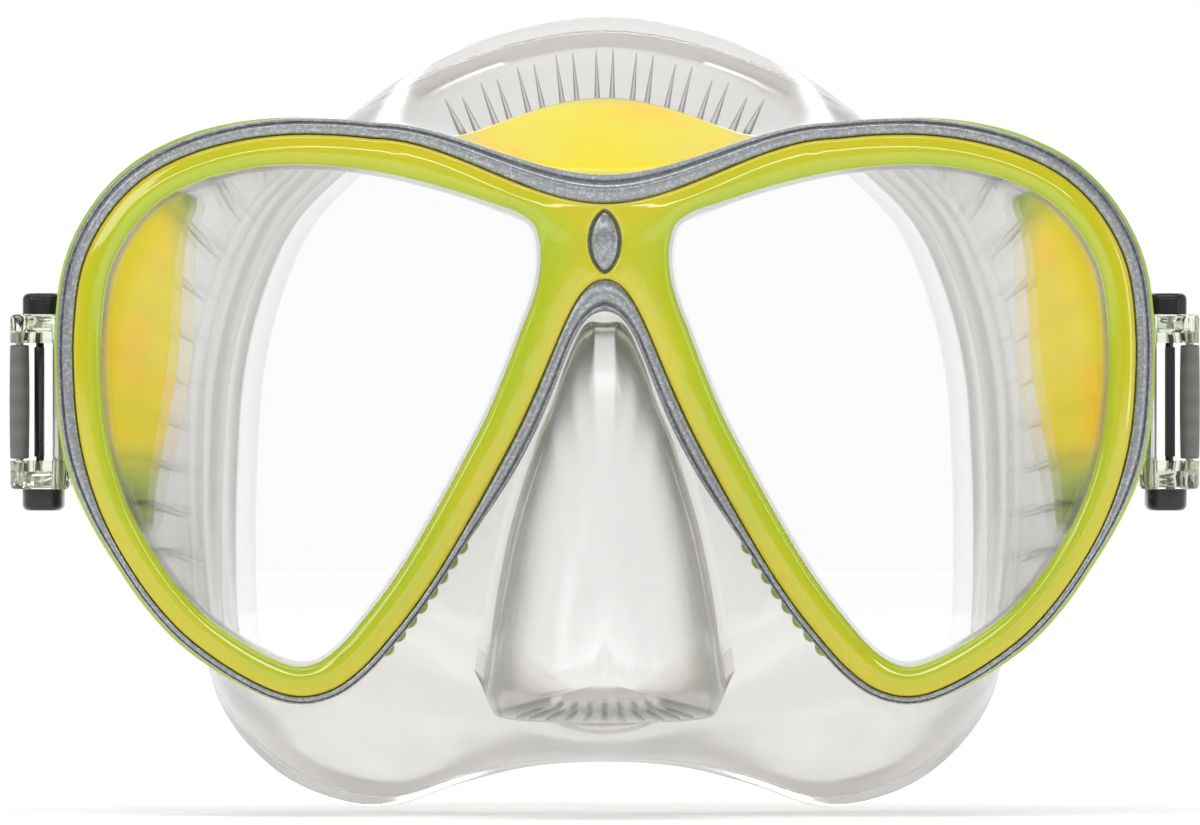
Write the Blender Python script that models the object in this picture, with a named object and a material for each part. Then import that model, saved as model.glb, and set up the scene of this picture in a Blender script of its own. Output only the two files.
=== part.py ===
"""Twin-lens snorkel mask: frames, lenses, silicone skirt and two swivelling strap buckles.

Blender 4.5, metres, +Z up. The wearer's face is at +Y and the lenses look along -Y. The origin is the
centre of the sealing rim. Front pieces are drawn on a flat layout and then swept back by sweep_back(),
so that each lens is a flat pane turned a few degrees outwards.
"""

import math

import bmesh
import bpy
from mathutils import Matrix, Vector

MM = 0.001

# Lenses
LENS_WIDTH = 64.9 * MM  # clear window
LENS_HEIGHT = 73.9 * MM
LENS_GAP = 19.6 * MM  # between the two windows where they are nearest
LENS_CENTRE_Z = -1.95 * MM
LENS_THICKNESS = 4.0 * MM  # tempered glass
LENS_OVERLAP = 2.0 * MM  # how far the glass runs under the bezel
SWEEP_DEGREES = 6.0

# Frames
BEZEL_WIDTH_TEMPLE = 4.1 * MM
BEZEL_WIDTH_NOSE = 5.0 * MM
BEZEL_THICKNESS = 2.7 * MM
BEZEL_BROW_Z = 29.3 * MM  # the bezel's upper edge on the centre line
BEZEL_ARCH_Z = 18.2 * MM  # its lower edge there, over the nose
FRAME_RIM_UPPER = 2.5 * MM  # the main frame's rim outside the bezel
FRAME_RIM_LOWER = 1.2 * MM
FRAME_BROW_RIM = 4.4 * MM
FRAME_ARCH_RIM = 4.8 * MM
BEZEL_PROUD = 0.8 * MM  # how far the bezel stands in front of the main frame
SUBFRAME_THICKNESS = 4.0 * MM
SUBFRAME_LIP = 0.7 * MM  # how far the rear frame shows past the main frame
SUBFRAME_TOOTH = 1.0 * MM
LOZENGE_HEIGHT = 9.6 * MM  # plain lozenge on the bridge
LOZENGE_WIDTH = 5.0 * MM
LOZENGE_SINK = 0.5 * MM
GAP = 0.3 * MM  # between fitted pieces
SLIDE_GAP = 0.3 * MM  # round a sliding button
PIN_GAP = 0.1 * MM  # round a pin in its hole

# Skirt
SKIRT_WALL = 1.8 * MM
FLANGE_THICKNESS = 1.8 * MM  # silicone clamped behind the lens
FLANGE_WIDTH = 4.0 * MM
SKIRT_START = 4.7 * MM  # the skirt's walls start this far outside the windows
CUP_WALL = 2.6 * MM
SKIRT_DEPTH = 30.3 * MM  # from the front wall back to the brow's seal
FACE_WRAP = 16.0 * MM  # how much further back the seal is at the temples
SEAL_TOP_Z = 58.6 * MM
SEAL_BOTTOM_Z = -61.8 * MM
SEAL_HALF_WIDTH = 61.5 * MM
LIP_THICKNESS = 1.5 * MM
LIP_WIDTH = 6.0 * MM  # the sealing lip, from its outer edge to the face opening
NOSE_WIDTH = 35.0 * MM
NOSE_TOP_Z = 11.5 * MM
NOSE_BOTTOM_Z = -47.3 * MM
NOSE_REACH = 29.5 * MM  # how far the pocket stands in front of the skirt's front wall
INSERT_THICKNESS = 1.0 * MM
PAD_GAP = 0.6 * MM  # between an insert and the skirt's faceted wall

# Buckles
KNUCKLE_INSET = 2.3 * MM  # from the rear frame's outer edge in to the knuckle's inner side
KNUCKLE_RADIUS = 2.0 * MM
CHEEK_NOSE = 0.5 * MM  # how far the cheeks stand out past the knuckle
SWIVEL_CLEARANCE = 0.8 * MM  # between the cheeks and the rear frame, so that the buckle can turn
SWIVEL_PIN_RADIUS = 0.8 * MM
STRAP_WIDTH = 17.0 * MM
STRAP_SLOT = 2.1 * MM  # room for the strap's thickness
CHEEK_THICKNESS = 4.3 * MM
BASE_WALL = 2.0 * MM
BUCKLE_WIDTH = 8.8 * MM
BUCKLE_LENGTH = 25.0 * MM
ROLLER_RADIUS = 1.5 * MM
AXLE_RADIUS = 0.6 * MM
BUTTON_WIDTH = 6.2 * MM
BUTTON_LENGTH = 12.0 * MM
BUTTON_BACK = 2.0 * MM  # from the swivel axis back to its front end
BUTTON_PROUD = 3.2 * MM  # above the cheek
BUTTON_SEAT = 0.5 * MM  # how deep it stands in the cheek at rest
BUTTON_TRAVEL = 2.0 * MM
SPRING_RADIUS = 1.3 * MM
SPRING_WALL = 0.4 * MM
SPRING_BORE_DEPTH = 1.8 * MM
CAM_RADIUS = 0.5 * MM
LOCK_THICKNESS = 1.3 * MM
LOCK_LENGTH = 6.0 * MM
LOCK_PIVOT_RADIUS = 0.6 * MM

# The clear window, clockwise from the nose side: (outward, up) in half widths and half heights.
WINDOW_SHAPE = (
    (-0.79, 0.05), (-0.92, 0.34), (-1.00, 0.55), (-0.98, 0.76), (-0.78, 0.85), (-0.40, 0.95), (-0.03, 1.00),
    (0.36, 0.985), (0.74, 0.855), (0.97, 0.56), (1.00, 0.10), (0.93, -0.25), (0.775, -0.54), (0.535, -0.80),
    (0.20, -0.985), (0.00, -0.99), (-0.20, -0.82), (-0.42, -0.55), (-0.67, -0.16),
)
HUMP = -0.22  # where the brow line meets the frame round the lens, in half widths
FLANK_Z = -5.0 * MM  # the nose arch springs from here
TIP = -0.15  # the lowest point of the lens side, in half widths

# Half of the sealing rim, from the brow to the lip: x in seal half widths, z from the seal's middle to
# its top (1) or bottom (-1).
SEAL_SHAPE = (
    (0.0, 1.0), (0.26, 0.955), (0.49, 0.85), (0.675, 0.70), (0.84, 0.53), (0.935, 0.32), (0.985, 0.10),
    (1.0, -0.13), (1.0, -0.36), (0.985, -0.60), (0.94, -0.76), (0.83, -0.90), (0.70, -0.975), (0.54, -1.0),
    (0.36, -0.94), (0.19, -0.895), (0.0, -0.88),
)
# Nose pocket: (height from bottom 0 to top 1, half width in nose widths, reach in NOSE_REACH)
NOSE_SHAPE = (
    (0.0, 0.46, 0.93), (0.03, 0.49, 0.985), (0.10, 0.50, 1.0), (0.30, 0.457, 0.915), (0.50, 0.39, 0.78),
    (0.70, 0.29, 0.60), (0.80, 0.222, 0.49), (0.91, 0.16, 0.35), (1.0, 0.085, 0.21),
)

SKIRT_SIDES = 56
SKIRT_STEP = 2 * math.pi / SKIRT_SIDES
SMOOTH = math.radians(35)
FINISHES = {  # sRGB colour, roughness, metallic, alpha
    "yellow_polycarbonate": ((0.83, 0.82, 0.12), 0.12, 0.0, 1.0),
    "silver_paint": ((0.52, 0.53, 0.54), 0.35, 0.9, 1.0),
    "lime_polycarbonate": ((0.66, 0.76, 0.27), 0.15, 0.0, 1.0),
    "tempered_glass": ((0.95, 0.98, 0.97), 0.02, 0.0, 0.15),
    "clear_silicone": ((0.92, 0.93, 0.92), 0.25, 0.0, 0.45),
    "yellow_silicone": ((0.96, 0.87, 0.18), 0.30, 0.0, 1.0),
    "clear_polycarbonate": ((0.93, 0.94, 0.92), 0.08, 0.0, 0.4),
    "black_abs": ((0.10, 0.09, 0.10), 0.25, 0.0, 1.0),
    "grey_acetal": ((0.42, 0.41, 0.41), 0.35, 0.0, 1.0),
    "stainless_steel": ((0.72, 0.72, 0.71), 0.25, 1.0, 1.0),
}


# ---- places worked out from the sizes above, on the flat layout: y grows towards the face ----

SKIRT_FRONT = -SKIRT_DEPTH
SUBFRAME_BACK = SKIRT_FRONT - GAP
SUBFRAME_FRONT = SUBFRAME_BACK - SUBFRAME_THICKNESS
FLANGE_BACK = SUBFRAME_FRONT - GAP
FLANGE_FRONT = FLANGE_BACK - FLANGE_THICKNESS
LENS_BACK = FLANGE_FRONT - GAP
LENS_FRONT = LENS_BACK - LENS_THICKNESS
BEZEL_BACK = LENS_FRONT - GAP
BEZEL_FRONT = BEZEL_BACK - BEZEL_THICKNESS
FRAME_FRONT = BEZEL_FRONT + BEZEL_PROUD
WINDOW_X = (LENS_GAP + LENS_WIDTH) / 2
CREASE_X = LENS_GAP / 2 - LENS_OVERLAP - GAP  # the sweep starts here, just inside both lenses
SEAL_MIDDLE_Z = (SEAL_TOP_Z + SEAL_BOTTOM_Z) / 2
CHANNEL_HALF = STRAP_WIDTH / 2 + GAP
CHEEK_OUTER = CHANNEL_HALF + CHEEK_THICKNESS
BUTTON_TOP = CHEEK_OUTER + BUTTON_PROUD
BUTTON_BOTTOM = CHEEK_OUTER - BUTTON_SEAT
POCKET_FLOOR = BUTTON_BOTTOM - BUTTON_TRAVEL - GAP
NOSE_RADIUS = KNUCKLE_RADIUS + CHEEK_NOSE
PIVOT_BACK = NOSE_RADIUS + SWIVEL_CLEARANCE


# ---- outlines, as lists of (x, z) ----

def smooth_step(t):
    t = min(max(t, 0.0), 1.0)
    return t * t * (3 - 2 * t)


def closed_spline(points, steps):
    """A closed Catmull-Rom curve through the points."""
    count = len(points)
    curve = []
    for i in range(count):
        a, b, c, d = (points[(i + k - 1) % count] for k in range(4))
        for step in range(steps):
            t = step / steps
            curve.append(tuple(
                b[k] + 0.5 * t * (c[k] - a[k] + t * (2 * a[k] - 5 * b[k] + 4 * c[k] - d[k]
                                                   + t * (3 * (b[k] - c[k]) + d[k] - a[k])))
                for k in range(2)
            ))
    return curve


def offset(loop, amount):
    """A clockwise loop moved outwards by a distance, or by a function of (x, z)."""
    moved = []
    count = len(loop)
    for i, (x, z) in enumerate(loop):
        (x0, z0), (x1, z1) = loop[i - 1], loop[(i + 1) % count]
        length = math.hypot(x1 - x0, z1 - z0)
        by = amount(x, z) if callable(amount) else amount
        moved.append((x - by * (z1 - z0) / length, z + by * (x1 - x0) / length))
    return moved


def mirrored(loop):
    return [(-x, z) for x, z in reversed(loop)]


def window_x(share):
    return WINDOW_X + share * LENS_WIDTH / 2


def window(grow=0.0, steps=2):
    """The right lens's clear window, moved outwards by grow."""
    points = [(window_x(u), LENS_CENTRE_Z + v * LENS_HEIGHT / 2) for u, v in WINDOW_SHAPE]
    return offset(closed_spline(points, steps), grow)


def bezel_width(x, z):
    share = smooth_step((x - window_x(-0.8)) / (1.6 * LENS_WIDTH / 2))
    return BEZEL_WIDTH_NOSE + (BEZEL_WIDTH_TEMPLE - BEZEL_WIDTH_NOSE) * share


def frame_width(x, z):
    share = smooth_step((FLANK_Z - z) / (LENS_HEIGHT / 4))
    return bezel_width(x, z) + FRAME_RIM_UPPER + (FRAME_RIM_LOWER - FRAME_RIM_UPPER) * share


def subframe_width(x, z):
    temple = smooth_step((x - window_x(-0.2)) / (0.4 * LENS_WIDTH))
    teeth = (1 - temple) * smooth_step((FLANK_Z - 3 * SUBFRAME_TOOTH - z) / (LENS_HEIGHT / 8))
    return frame_width(x, z) + SUBFRAME_LIP * temple + SUBFRAME_TOOTH * teeth


def frame_outline(width, brow_z, arch_z):
    """A frame's outer edge: round both lenses, with an S-curve to the brow and an arch over the nose."""
    around = [p for p in window(width) if p[0] >= window_x(HUMP) or p[1] < FLANK_Z]
    hump_x, hump_z = around[0]
    brow = [(hump_x * t, brow_z + (hump_z - brow_z) * smooth_step(t)) for t in (0, 0.2, 0.4, 0.6, 0.8)]
    (x0, z0), (x1, z1) = around[-2:]
    reach = 0.64 * (arch_z - z1) / math.hypot(x1 - x0, z1 - z0)
    handles = ((x1, z1), (x1 + reach * (x1 - x0), z1 + reach * (z1 - z0)), (CREASE_X * 0.7, arch_z), (0, arch_z))
    arch = [bezier(handles, t) for t in (0.2, 0.4, 0.6, 0.8, 1.0)]
    half = brow + around + arch
    return half + mirrored(half[1:-1])


def bezier(handles, t):
    weights = ((1 - t) ** 3, 3 * t * (1 - t) ** 2, 3 * t * t * (1 - t), t ** 3)
    return tuple(sum(w * h[k] for w, h in zip(weights, handles)) for k in range(2))


def lozenge(shrink=0.0):
    """A plain pointed oval in the middle of the bridge, clockwise from its top."""
    middle = (BEZEL_BROW_Z + BEZEL_ARCH_Z) / 2
    half_width, half_height = LOZENGE_WIDTH / 2 - shrink, LOZENGE_HEIGHT / 2 - shrink
    angles = [math.radians(a) for a in range(0, 360, 30)]
    return [(half_width * math.sin(a) * abs(math.sin(a)) ** 0.3, middle + half_height * math.cos(a))
            for a in angles]


def skirt_front_outline():
    """Where the skirt's walls start, just inside the rear frame's outer edge, straight across under the nose."""
    around = [p for p in window(SKIRT_START) if p[0] >= window_x(HUMP)
              or (p[1] < LENS_CENTRE_Z and p[0] > window_x(TIP))]
    hump_x, hump_z = around[0]
    tip_x, tip_z = around[-1]
    chin_z = NOSE_BOTTOM_Z - SKIRT_WALL
    brow_z = BEZEL_BROW_Z + GAP
    shares = (0, 0.25, 0.5, 0.75)
    brow = [(hump_x * t, brow_z + (hump_z - brow_z) * smooth_step(t)) for t in shares]
    chin = [(tip_x * t, chin_z + (tip_z - chin_z) * smooth_step(t)) for t in reversed(shares)]
    half = brow + around + chin
    return half + mirrored(half[1:-1])


def seal_outline():
    half_height = (SEAL_TOP_Z - SEAL_BOTTOM_Z) / 2
    half = [(x * SEAL_HALF_WIDTH, SEAL_MIDDLE_Z + z * half_height) for x, z in SEAL_SHAPE]
    return closed_spline(half + mirrored(half[1:-1]), 2)


def reach_of(loop, angle):
    """Where the ray from the seal's middle at this angle crosses the loop."""
    dx, dz = math.sin(angle), math.cos(angle)
    for (x0, z0), (x1, z1) in zip(loop, loop[1:] + loop[:1]):
        z0, z1 = z0 - SEAL_MIDDLE_Z, z1 - SEAL_MIDDLE_Z
        across = dx * (z1 - z0) - dz * (x1 - x0)
        if abs(across) < 1e-12:
            continue
        along = (x0 * (z1 - z0) - z0 * (x1 - x0)) / across
        share = (x0 * dz - z0 * dx) / across
        if along > 0 and -1e-6 <= share <= 1 + 1e-6:
            return dx * along, SEAL_MIDDLE_Z + dz * along
    raise ValueError("the outline has a gap")


def face_y(x):
    """The depth of the face's surface at a distance x from the centre line."""
    return FACE_WRAP * (x / SEAL_HALF_WIDTH) ** 2


# ---- meshes ----

def sweep_back(bm):
    """Turns each half of a flat layout outwards about the crease. The turn fades out towards the face."""
    for x in (-CREASE_X, CREASE_X):
        geometry = bm.verts[:] + bm.edges[:] + bm.faces[:]
        bmesh.ops.bisect_plane(bm, geom=geometry, dist=1e-7, plane_co=(x, 0, 0), plane_no=(1, 0, 0))
    slope = math.tan(math.radians(SWEEP_DEGREES))
    fade_from = SKIRT_FRONT + SKIRT_WALL
    for vertex in bm.verts:
        fade = min(max(vertex.co.y / fade_from, 0.0), 1.0)
        vertex.co.y += slope * max(abs(vertex.co.x) - CREASE_X, 0.0) * fade
    return bm


def stacked(loops):
    """A closed body through loops of equal length, each a list of (x, y, z), capped at both ends."""
    bm = bmesh.new()
    rings = [[bm.verts.new(p) for p in loop] for loop in loops]
    for lower, upper in zip(rings, rings[1:]):
        for i in range(len(lower)):
            bm.faces.new((lower[i - 1], lower[i], upper[i], upper[i - 1]))
    bm.faces.new(rings[0])
    bm.faces.new(rings[-1])
    bmesh.ops.recalc_face_normals(bm, faces=bm.faces)
    return bm


def plate(loop, front, back):
    """A flat-layout plate between two depths, swept back."""
    return sweep_back(stacked([[(x, y, z) for x, z in loop] for y in (front, back)]))


def prism(loop, bottom, top):
    """An upright solid over a plan outline of (x, y)."""
    return stacked([[(x, y, z) for x, y in loop] for z in (bottom, top)])


def rod(x, y, radius, bottom, top, sides=16):
    return prism([(x + radius * math.cos(2 * math.pi * i / sides), y + radius * math.sin(2 * math.pi * i / sides))
                  for i in range(sides)], bottom, top)


def box(low, high):
    bm = bmesh.new()
    size = Vector(high) - Vector(low)
    middle = (Vector(high) + Vector(low)) / 2
    bmesh.ops.create_cube(bm, size=1.0, matrix=Matrix.Translation(middle) @ Matrix.Diagonal((*size, 1)))
    return bm


def finish(name):
    found = bpy.data.materials.get(name)
    if found:
        return found
    colour, roughness, metallic, alpha = FINISHES[name]
    made = bpy.data.materials.new(name)
    made.use_nodes = True
    shader = made.node_tree.nodes["Principled BSDF"]
    linear = [((c + 0.055) / 1.055) ** 2.4 for c in colour]
    shader.inputs["Base Color"].default_value = (*linear, 1)
    shader.inputs["Roughness"].default_value = roughness
    shader.inputs["Metallic"].default_value = metallic
    shader.inputs["Alpha"].default_value = alpha
    made.diffuse_color = (*linear, alpha)
    return made


def add_object(name, bm, origin, parent):
    """An object whose own origin is at a point given in world space."""
    bmesh.ops.translate(bm, vec=-Vector(origin), verts=bm.verts)
    mesh = bpy.data.meshes.new(name)
    bm.to_mesh(mesh)
    bm.free()
    mesh.shade_smooth()
    mesh.set_sharp_from_angle(angle=SMOOTH)
    obj = bpy.data.objects.new(name, mesh)
    bpy.context.scene.collection.objects.link(obj)
    obj.location = Vector(origin) - (parent.location if parent else Vector())
    obj.parent = parent
    return obj


def piece(name, bm, finish_name, origin=(0, 0, 0), parent=None):
    obj = add_object(name, bm, origin, parent)
    obj.data.materials.append(finish(finish_name))
    return obj


def shape(obj, operation, bm):
    """Joins or cuts a mesh given in world space, as a hidden tool that follows the object."""
    origin = obj.location + (obj.parent.location if obj.parent else Vector())
    tool = add_object(f"{obj.name}_tool_{len(obj.modifiers)}", bm, origin, None)
    tool.parent = obj
    tool.location = (0, 0, 0)
    tool.hide_render = True
    tool.display_type = "WIRE"
    modifier = obj.modifiers.new(operation.lower(), "BOOLEAN")
    modifier.operation = operation
    modifier.solver = "EXACT"
    modifier.object = tool


def both(loop):
    return loop, mirrored(loop)


# ---- frames and lenses ----

def front_bezel():
    obj = piece("front_bezel", plate(frame_outline(bezel_width, BEZEL_BROW_Z, BEZEL_ARCH_Z), BEZEL_FRONT, BEZEL_BACK),
                "yellow_polycarbonate")
    for loop in both(window()):
        shape(obj, "DIFFERENCE", plate(loop, BEZEL_FRONT - GAP, BEZEL_BACK + GAP))
    shape(obj, "DIFFERENCE", plate(lozenge(), BEZEL_FRONT - GAP, BEZEL_BACK + GAP))


def main_frame():
    outline = frame_outline(frame_width, BEZEL_BROW_Z + FRAME_BROW_RIM, BEZEL_ARCH_Z - FRAME_ARCH_RIM)
    obj = piece("main_frame", plate(outline, FRAME_FRONT, FLANGE_BACK), "silver_paint")
    recess = frame_outline(lambda x, z: bezel_width(x, z) + GAP, BEZEL_BROW_Z + GAP, BEZEL_ARCH_Z - GAP)
    shape(obj, "DIFFERENCE", plate(recess, FRAME_FRONT - GAP, BEZEL_BACK + GAP))
    for loop in both(window(LENS_OVERLAP + GAP)):
        shape(obj, "DIFFERENCE", plate(loop, BEZEL_FRONT, FLANGE_BACK + GAP))
    for loop in both(window(FLANGE_WIDTH + GAP)):
        shape(obj, "DIFFERENCE", plate(loop, FLANGE_FRONT - GAP, FLANGE_BACK + GAP))
    shape(obj, "UNION", plate(lozenge(GAP), BEZEL_FRONT + LOZENGE_SINK, BEZEL_BACK + 2 * GAP))


def lenses():
    for side, loop in zip(("right", "left"), both(window(LENS_OVERLAP))):
        piece(f"lens_{side}", plate(loop, LENS_FRONT, LENS_BACK), "tempered_glass")


def rear_subframe():
    outline = frame_outline(subframe_width, BEZEL_BROW_Z + FRAME_BROW_RIM, BEZEL_ARCH_Z - FRAME_ARCH_RIM)
    obj = piece("rear_subframe", plate(outline, SUBFRAME_FRONT, SUBFRAME_BACK), "lime_polycarbonate")
    for loop in both(window(CUP_WALL + GAP)):
        shape(obj, "DIFFERENCE", plate(loop, SUBFRAME_FRONT - GAP, SUBFRAME_BACK + GAP))
    half = STRAP_WIDTH / 2 - GAP
    for side in (1, -1):
        x, y = pivot_at(side)
        arm_inner = x - side * KNUCKLE_RADIUS
        arm = ((arm_inner, y - PIVOT_BACK - GAP), (x + side * GAP, y - PIVOT_BACK - GAP), (x + side * GAP, y),
               (arm_inner, y))
        shape(obj, "UNION", prism(arm, -half, half))
        shape(obj, "UNION", rod(x, y, KNUCKLE_RADIUS, -half, half, 24))
        shape(obj, "DIFFERENCE", rod(x, y, SWIVEL_PIN_RADIUS + PIN_GAP, -CHEEK_OUTER, CHEEK_OUTER))


# ---- skirt ----

def wall_point(angle, depth, inward):
    """A point of the skirt's wall on the flat layout. depth runs from 0 at the front to 1 at the seal."""
    front = reach_of(SKIRT_FRONT_OUTLINE, angle)
    seal = reach_of(SEAL_OUTLINE, angle)
    x, z = (front[k] + (seal[k] - front[k]) * depth for k in range(2))
    y = SKIRT_FRONT + (face_y(seal[0]) - SKIRT_FRONT) * depth
    return x - inward * math.sin(angle), y, z - inward * math.cos(angle)


def skirt_shell(angles):
    """The bowl: front wall, side wall and sealing lip, open towards the face."""
    depths = (0.0, 0.25, 0.5, 0.75, 1.0)
    outer = [[wall_point(a, d, 0.0) for a in angles] for d in depths]
    edge = [[wall_point(a, 1.0, LIP_WIDTH) for a in angles]]
    edge = [[(x, face_y(x) - lift, z) for x, _, z in edge[0]] for lift in (0.0, LIP_THICKNESS)]
    inner = []
    for depth in reversed(depths):
        ring = [wall_point(a, depth, SKIRT_WALL) for a in angles]
        shift = SKIRT_WALL * (1 - depth) - LIP_THICKNESS * depth
        inner.append([(x, y + shift, z) for x, y, z in ring])
    return sweep_back(stacked(outer + edge + inner))


def arch_half_width(z):
    """Half the width of the rear frame's opening for the nose, at a height."""
    outline = frame_outline(subframe_width, BEZEL_BROW_Z + FRAME_BROW_RIM, BEZEL_ARCH_Z - FRAME_ARCH_RIM)
    half = outline[:len(outline) // 2 + 1]
    lowest = half.index(min(half, key=lambda p: p[1]))
    flank = half[lowest:]
    for (x0, z0), (x1, z1) in zip(flank, flank[1:]):
        if z0 <= z <= z1:
            return x0 + (x1 - x0) * (z - z0) / (z1 - z0)
    return math.inf if z < flank[0][1] else 0.0


def nose_solid(inward, back):
    """The nose pocket's outer solid, or its inside when inward is the wall."""
    levels = []
    height = NOSE_TOP_Z - NOSE_BOTTOM_Z
    flank = SKIRT_FRONT - SKIRT_WALL
    for share, half_width, reach in NOSE_SHAPE:
        z = NOSE_BOTTOM_Z + inward + share * (height - 2 * inward)
        half = min(half_width * NOSE_WIDTH, arch_half_width(z) - GAP) - inward
        front = SKIRT_FRONT - reach * NOSE_REACH + inward
        arc = []
        for step in range(11):
            a = math.radians(-90 + 18 * step)
            across = math.copysign(abs(math.sin(a)) ** 0.75, a)
            arc.append((half * across, flank + (front - flank) * abs(math.cos(a)) ** 0.75, z))
        levels.append([(-half, back, z)] + arc + [(half, back, z)])
    return sweep_back(stacked(levels))


def skirt():
    obj = piece("skirt", skirt_shell([i * SKIRT_STEP for i in range(SKIRT_SIDES)]), "clear_silicone")
    middle_of_wall = SKIRT_FRONT + SKIRT_WALL / 2
    for loop in both(window(CUP_WALL)):
        shape(obj, "UNION", plate(loop, FLANGE_FRONT + FLANGE_THICKNESS / 2, middle_of_wall))
    for loop in both(window(FLANGE_WIDTH)):
        shape(obj, "UNION", plate(loop, FLANGE_FRONT, FLANGE_BACK))
    shape(obj, "UNION", nose_solid(0.0, middle_of_wall))
    shape(obj, "DIFFERENCE", nose_solid(SKIRT_WALL, SKIRT_FRONT + 2 * SKIRT_WALL))
    for loop in both(window()):
        shape(obj, "DIFFERENCE", plate(loop, FLANGE_FRONT - GAP, SKIRT_FRONT + SKIRT_WALL + GAP))


def wall_pad(name, angles, first_depth, last_depths, inner, outer):
    """A thin pad that follows the skirt's wall, from one depth to its own last depth at each angle."""
    loops = []
    for angle, last in zip(angles, last_depths):
        rows = [first_depth + (last - first_depth) * k / 3 for k in range(4)]
        loops.append([wall_point(angle, d, inner) for d in rows] + [wall_point(angle, d, outer) for d in rows[::-1]])
    piece(name, sweep_back(stacked(loops)), "yellow_silicone")


def inserts():
    """Firm yellow silicone: one pad on the brow, outside, and one inside each temple."""
    pads = (("brow_insert", 0, 5, 0.10, 0.14, -PAD_GAP, -PAD_GAP - INSERT_THICKNESS),
            ("side_insert_right", 13, 3, 0.16, 0.30, SKIRT_WALL + PAD_GAP, SKIRT_WALL + PAD_GAP + INSERT_THICKNESS),
            ("side_insert_left", -13, 3, 0.16, 0.30, SKIRT_WALL + PAD_GAP, SKIRT_WALL + PAD_GAP + INSERT_THICKNESS))
    for name, middle, reach, first, shortest, inner, outer in pads:
        steps = range(-reach, reach + 1)
        lasts = [shortest + 0.42 * (1 - (k / reach) ** 2) for k in steps]
        wall_pad(name, [(middle + k) * SKIRT_STEP for k in steps], first, lasts, inner, outer)


# ---- buckles ----

def pivot_at(side):
    """The swivel axis, just behind the rear frame at the temple. side is 1 for the right, -1 for the left."""
    frame_edge = max(x for x, z in frame_outline(subframe_width, BEZEL_BROW_Z, BEZEL_ARCH_Z) if abs(z) < STRAP_WIDTH)
    x = frame_edge - KNUCKLE_INSET + KNUCKLE_RADIUS
    slope = math.tan(math.radians(SWEEP_DEGREES))
    return side * x, SUBFRAME_BACK + slope * (x - CREASE_X) + PIVOT_BACK


def buckle_plan(side):
    """The cheeks' outline from above: round at the swivel, square at the strap's end."""
    x, y = pivot_at(side)
    inner, outer = -KNUCKLE_RADIUS + GAP, BUCKLE_WIDTH - KNUCKLE_RADIUS + GAP
    end = BUCKLE_LENGTH - NOSE_RADIUS
    corner = 1.5 * MM
    arc = [(-NOSE_RADIUS * math.sin(math.radians(a)), -NOSE_RADIUS * math.cos(math.radians(a))) for a in (0, 22, 45)]
    loop = arc + [(inner, 0.5 * NOSE_RADIUS), (inner, end - corner), (inner + corner, end), (outer - corner, end),
                  (outer, end - corner), (outer, corner - NOSE_RADIUS), (outer - corner, -NOSE_RADIUS)]
    return [(x + side * across, y + back) for across, back in loop]


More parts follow.
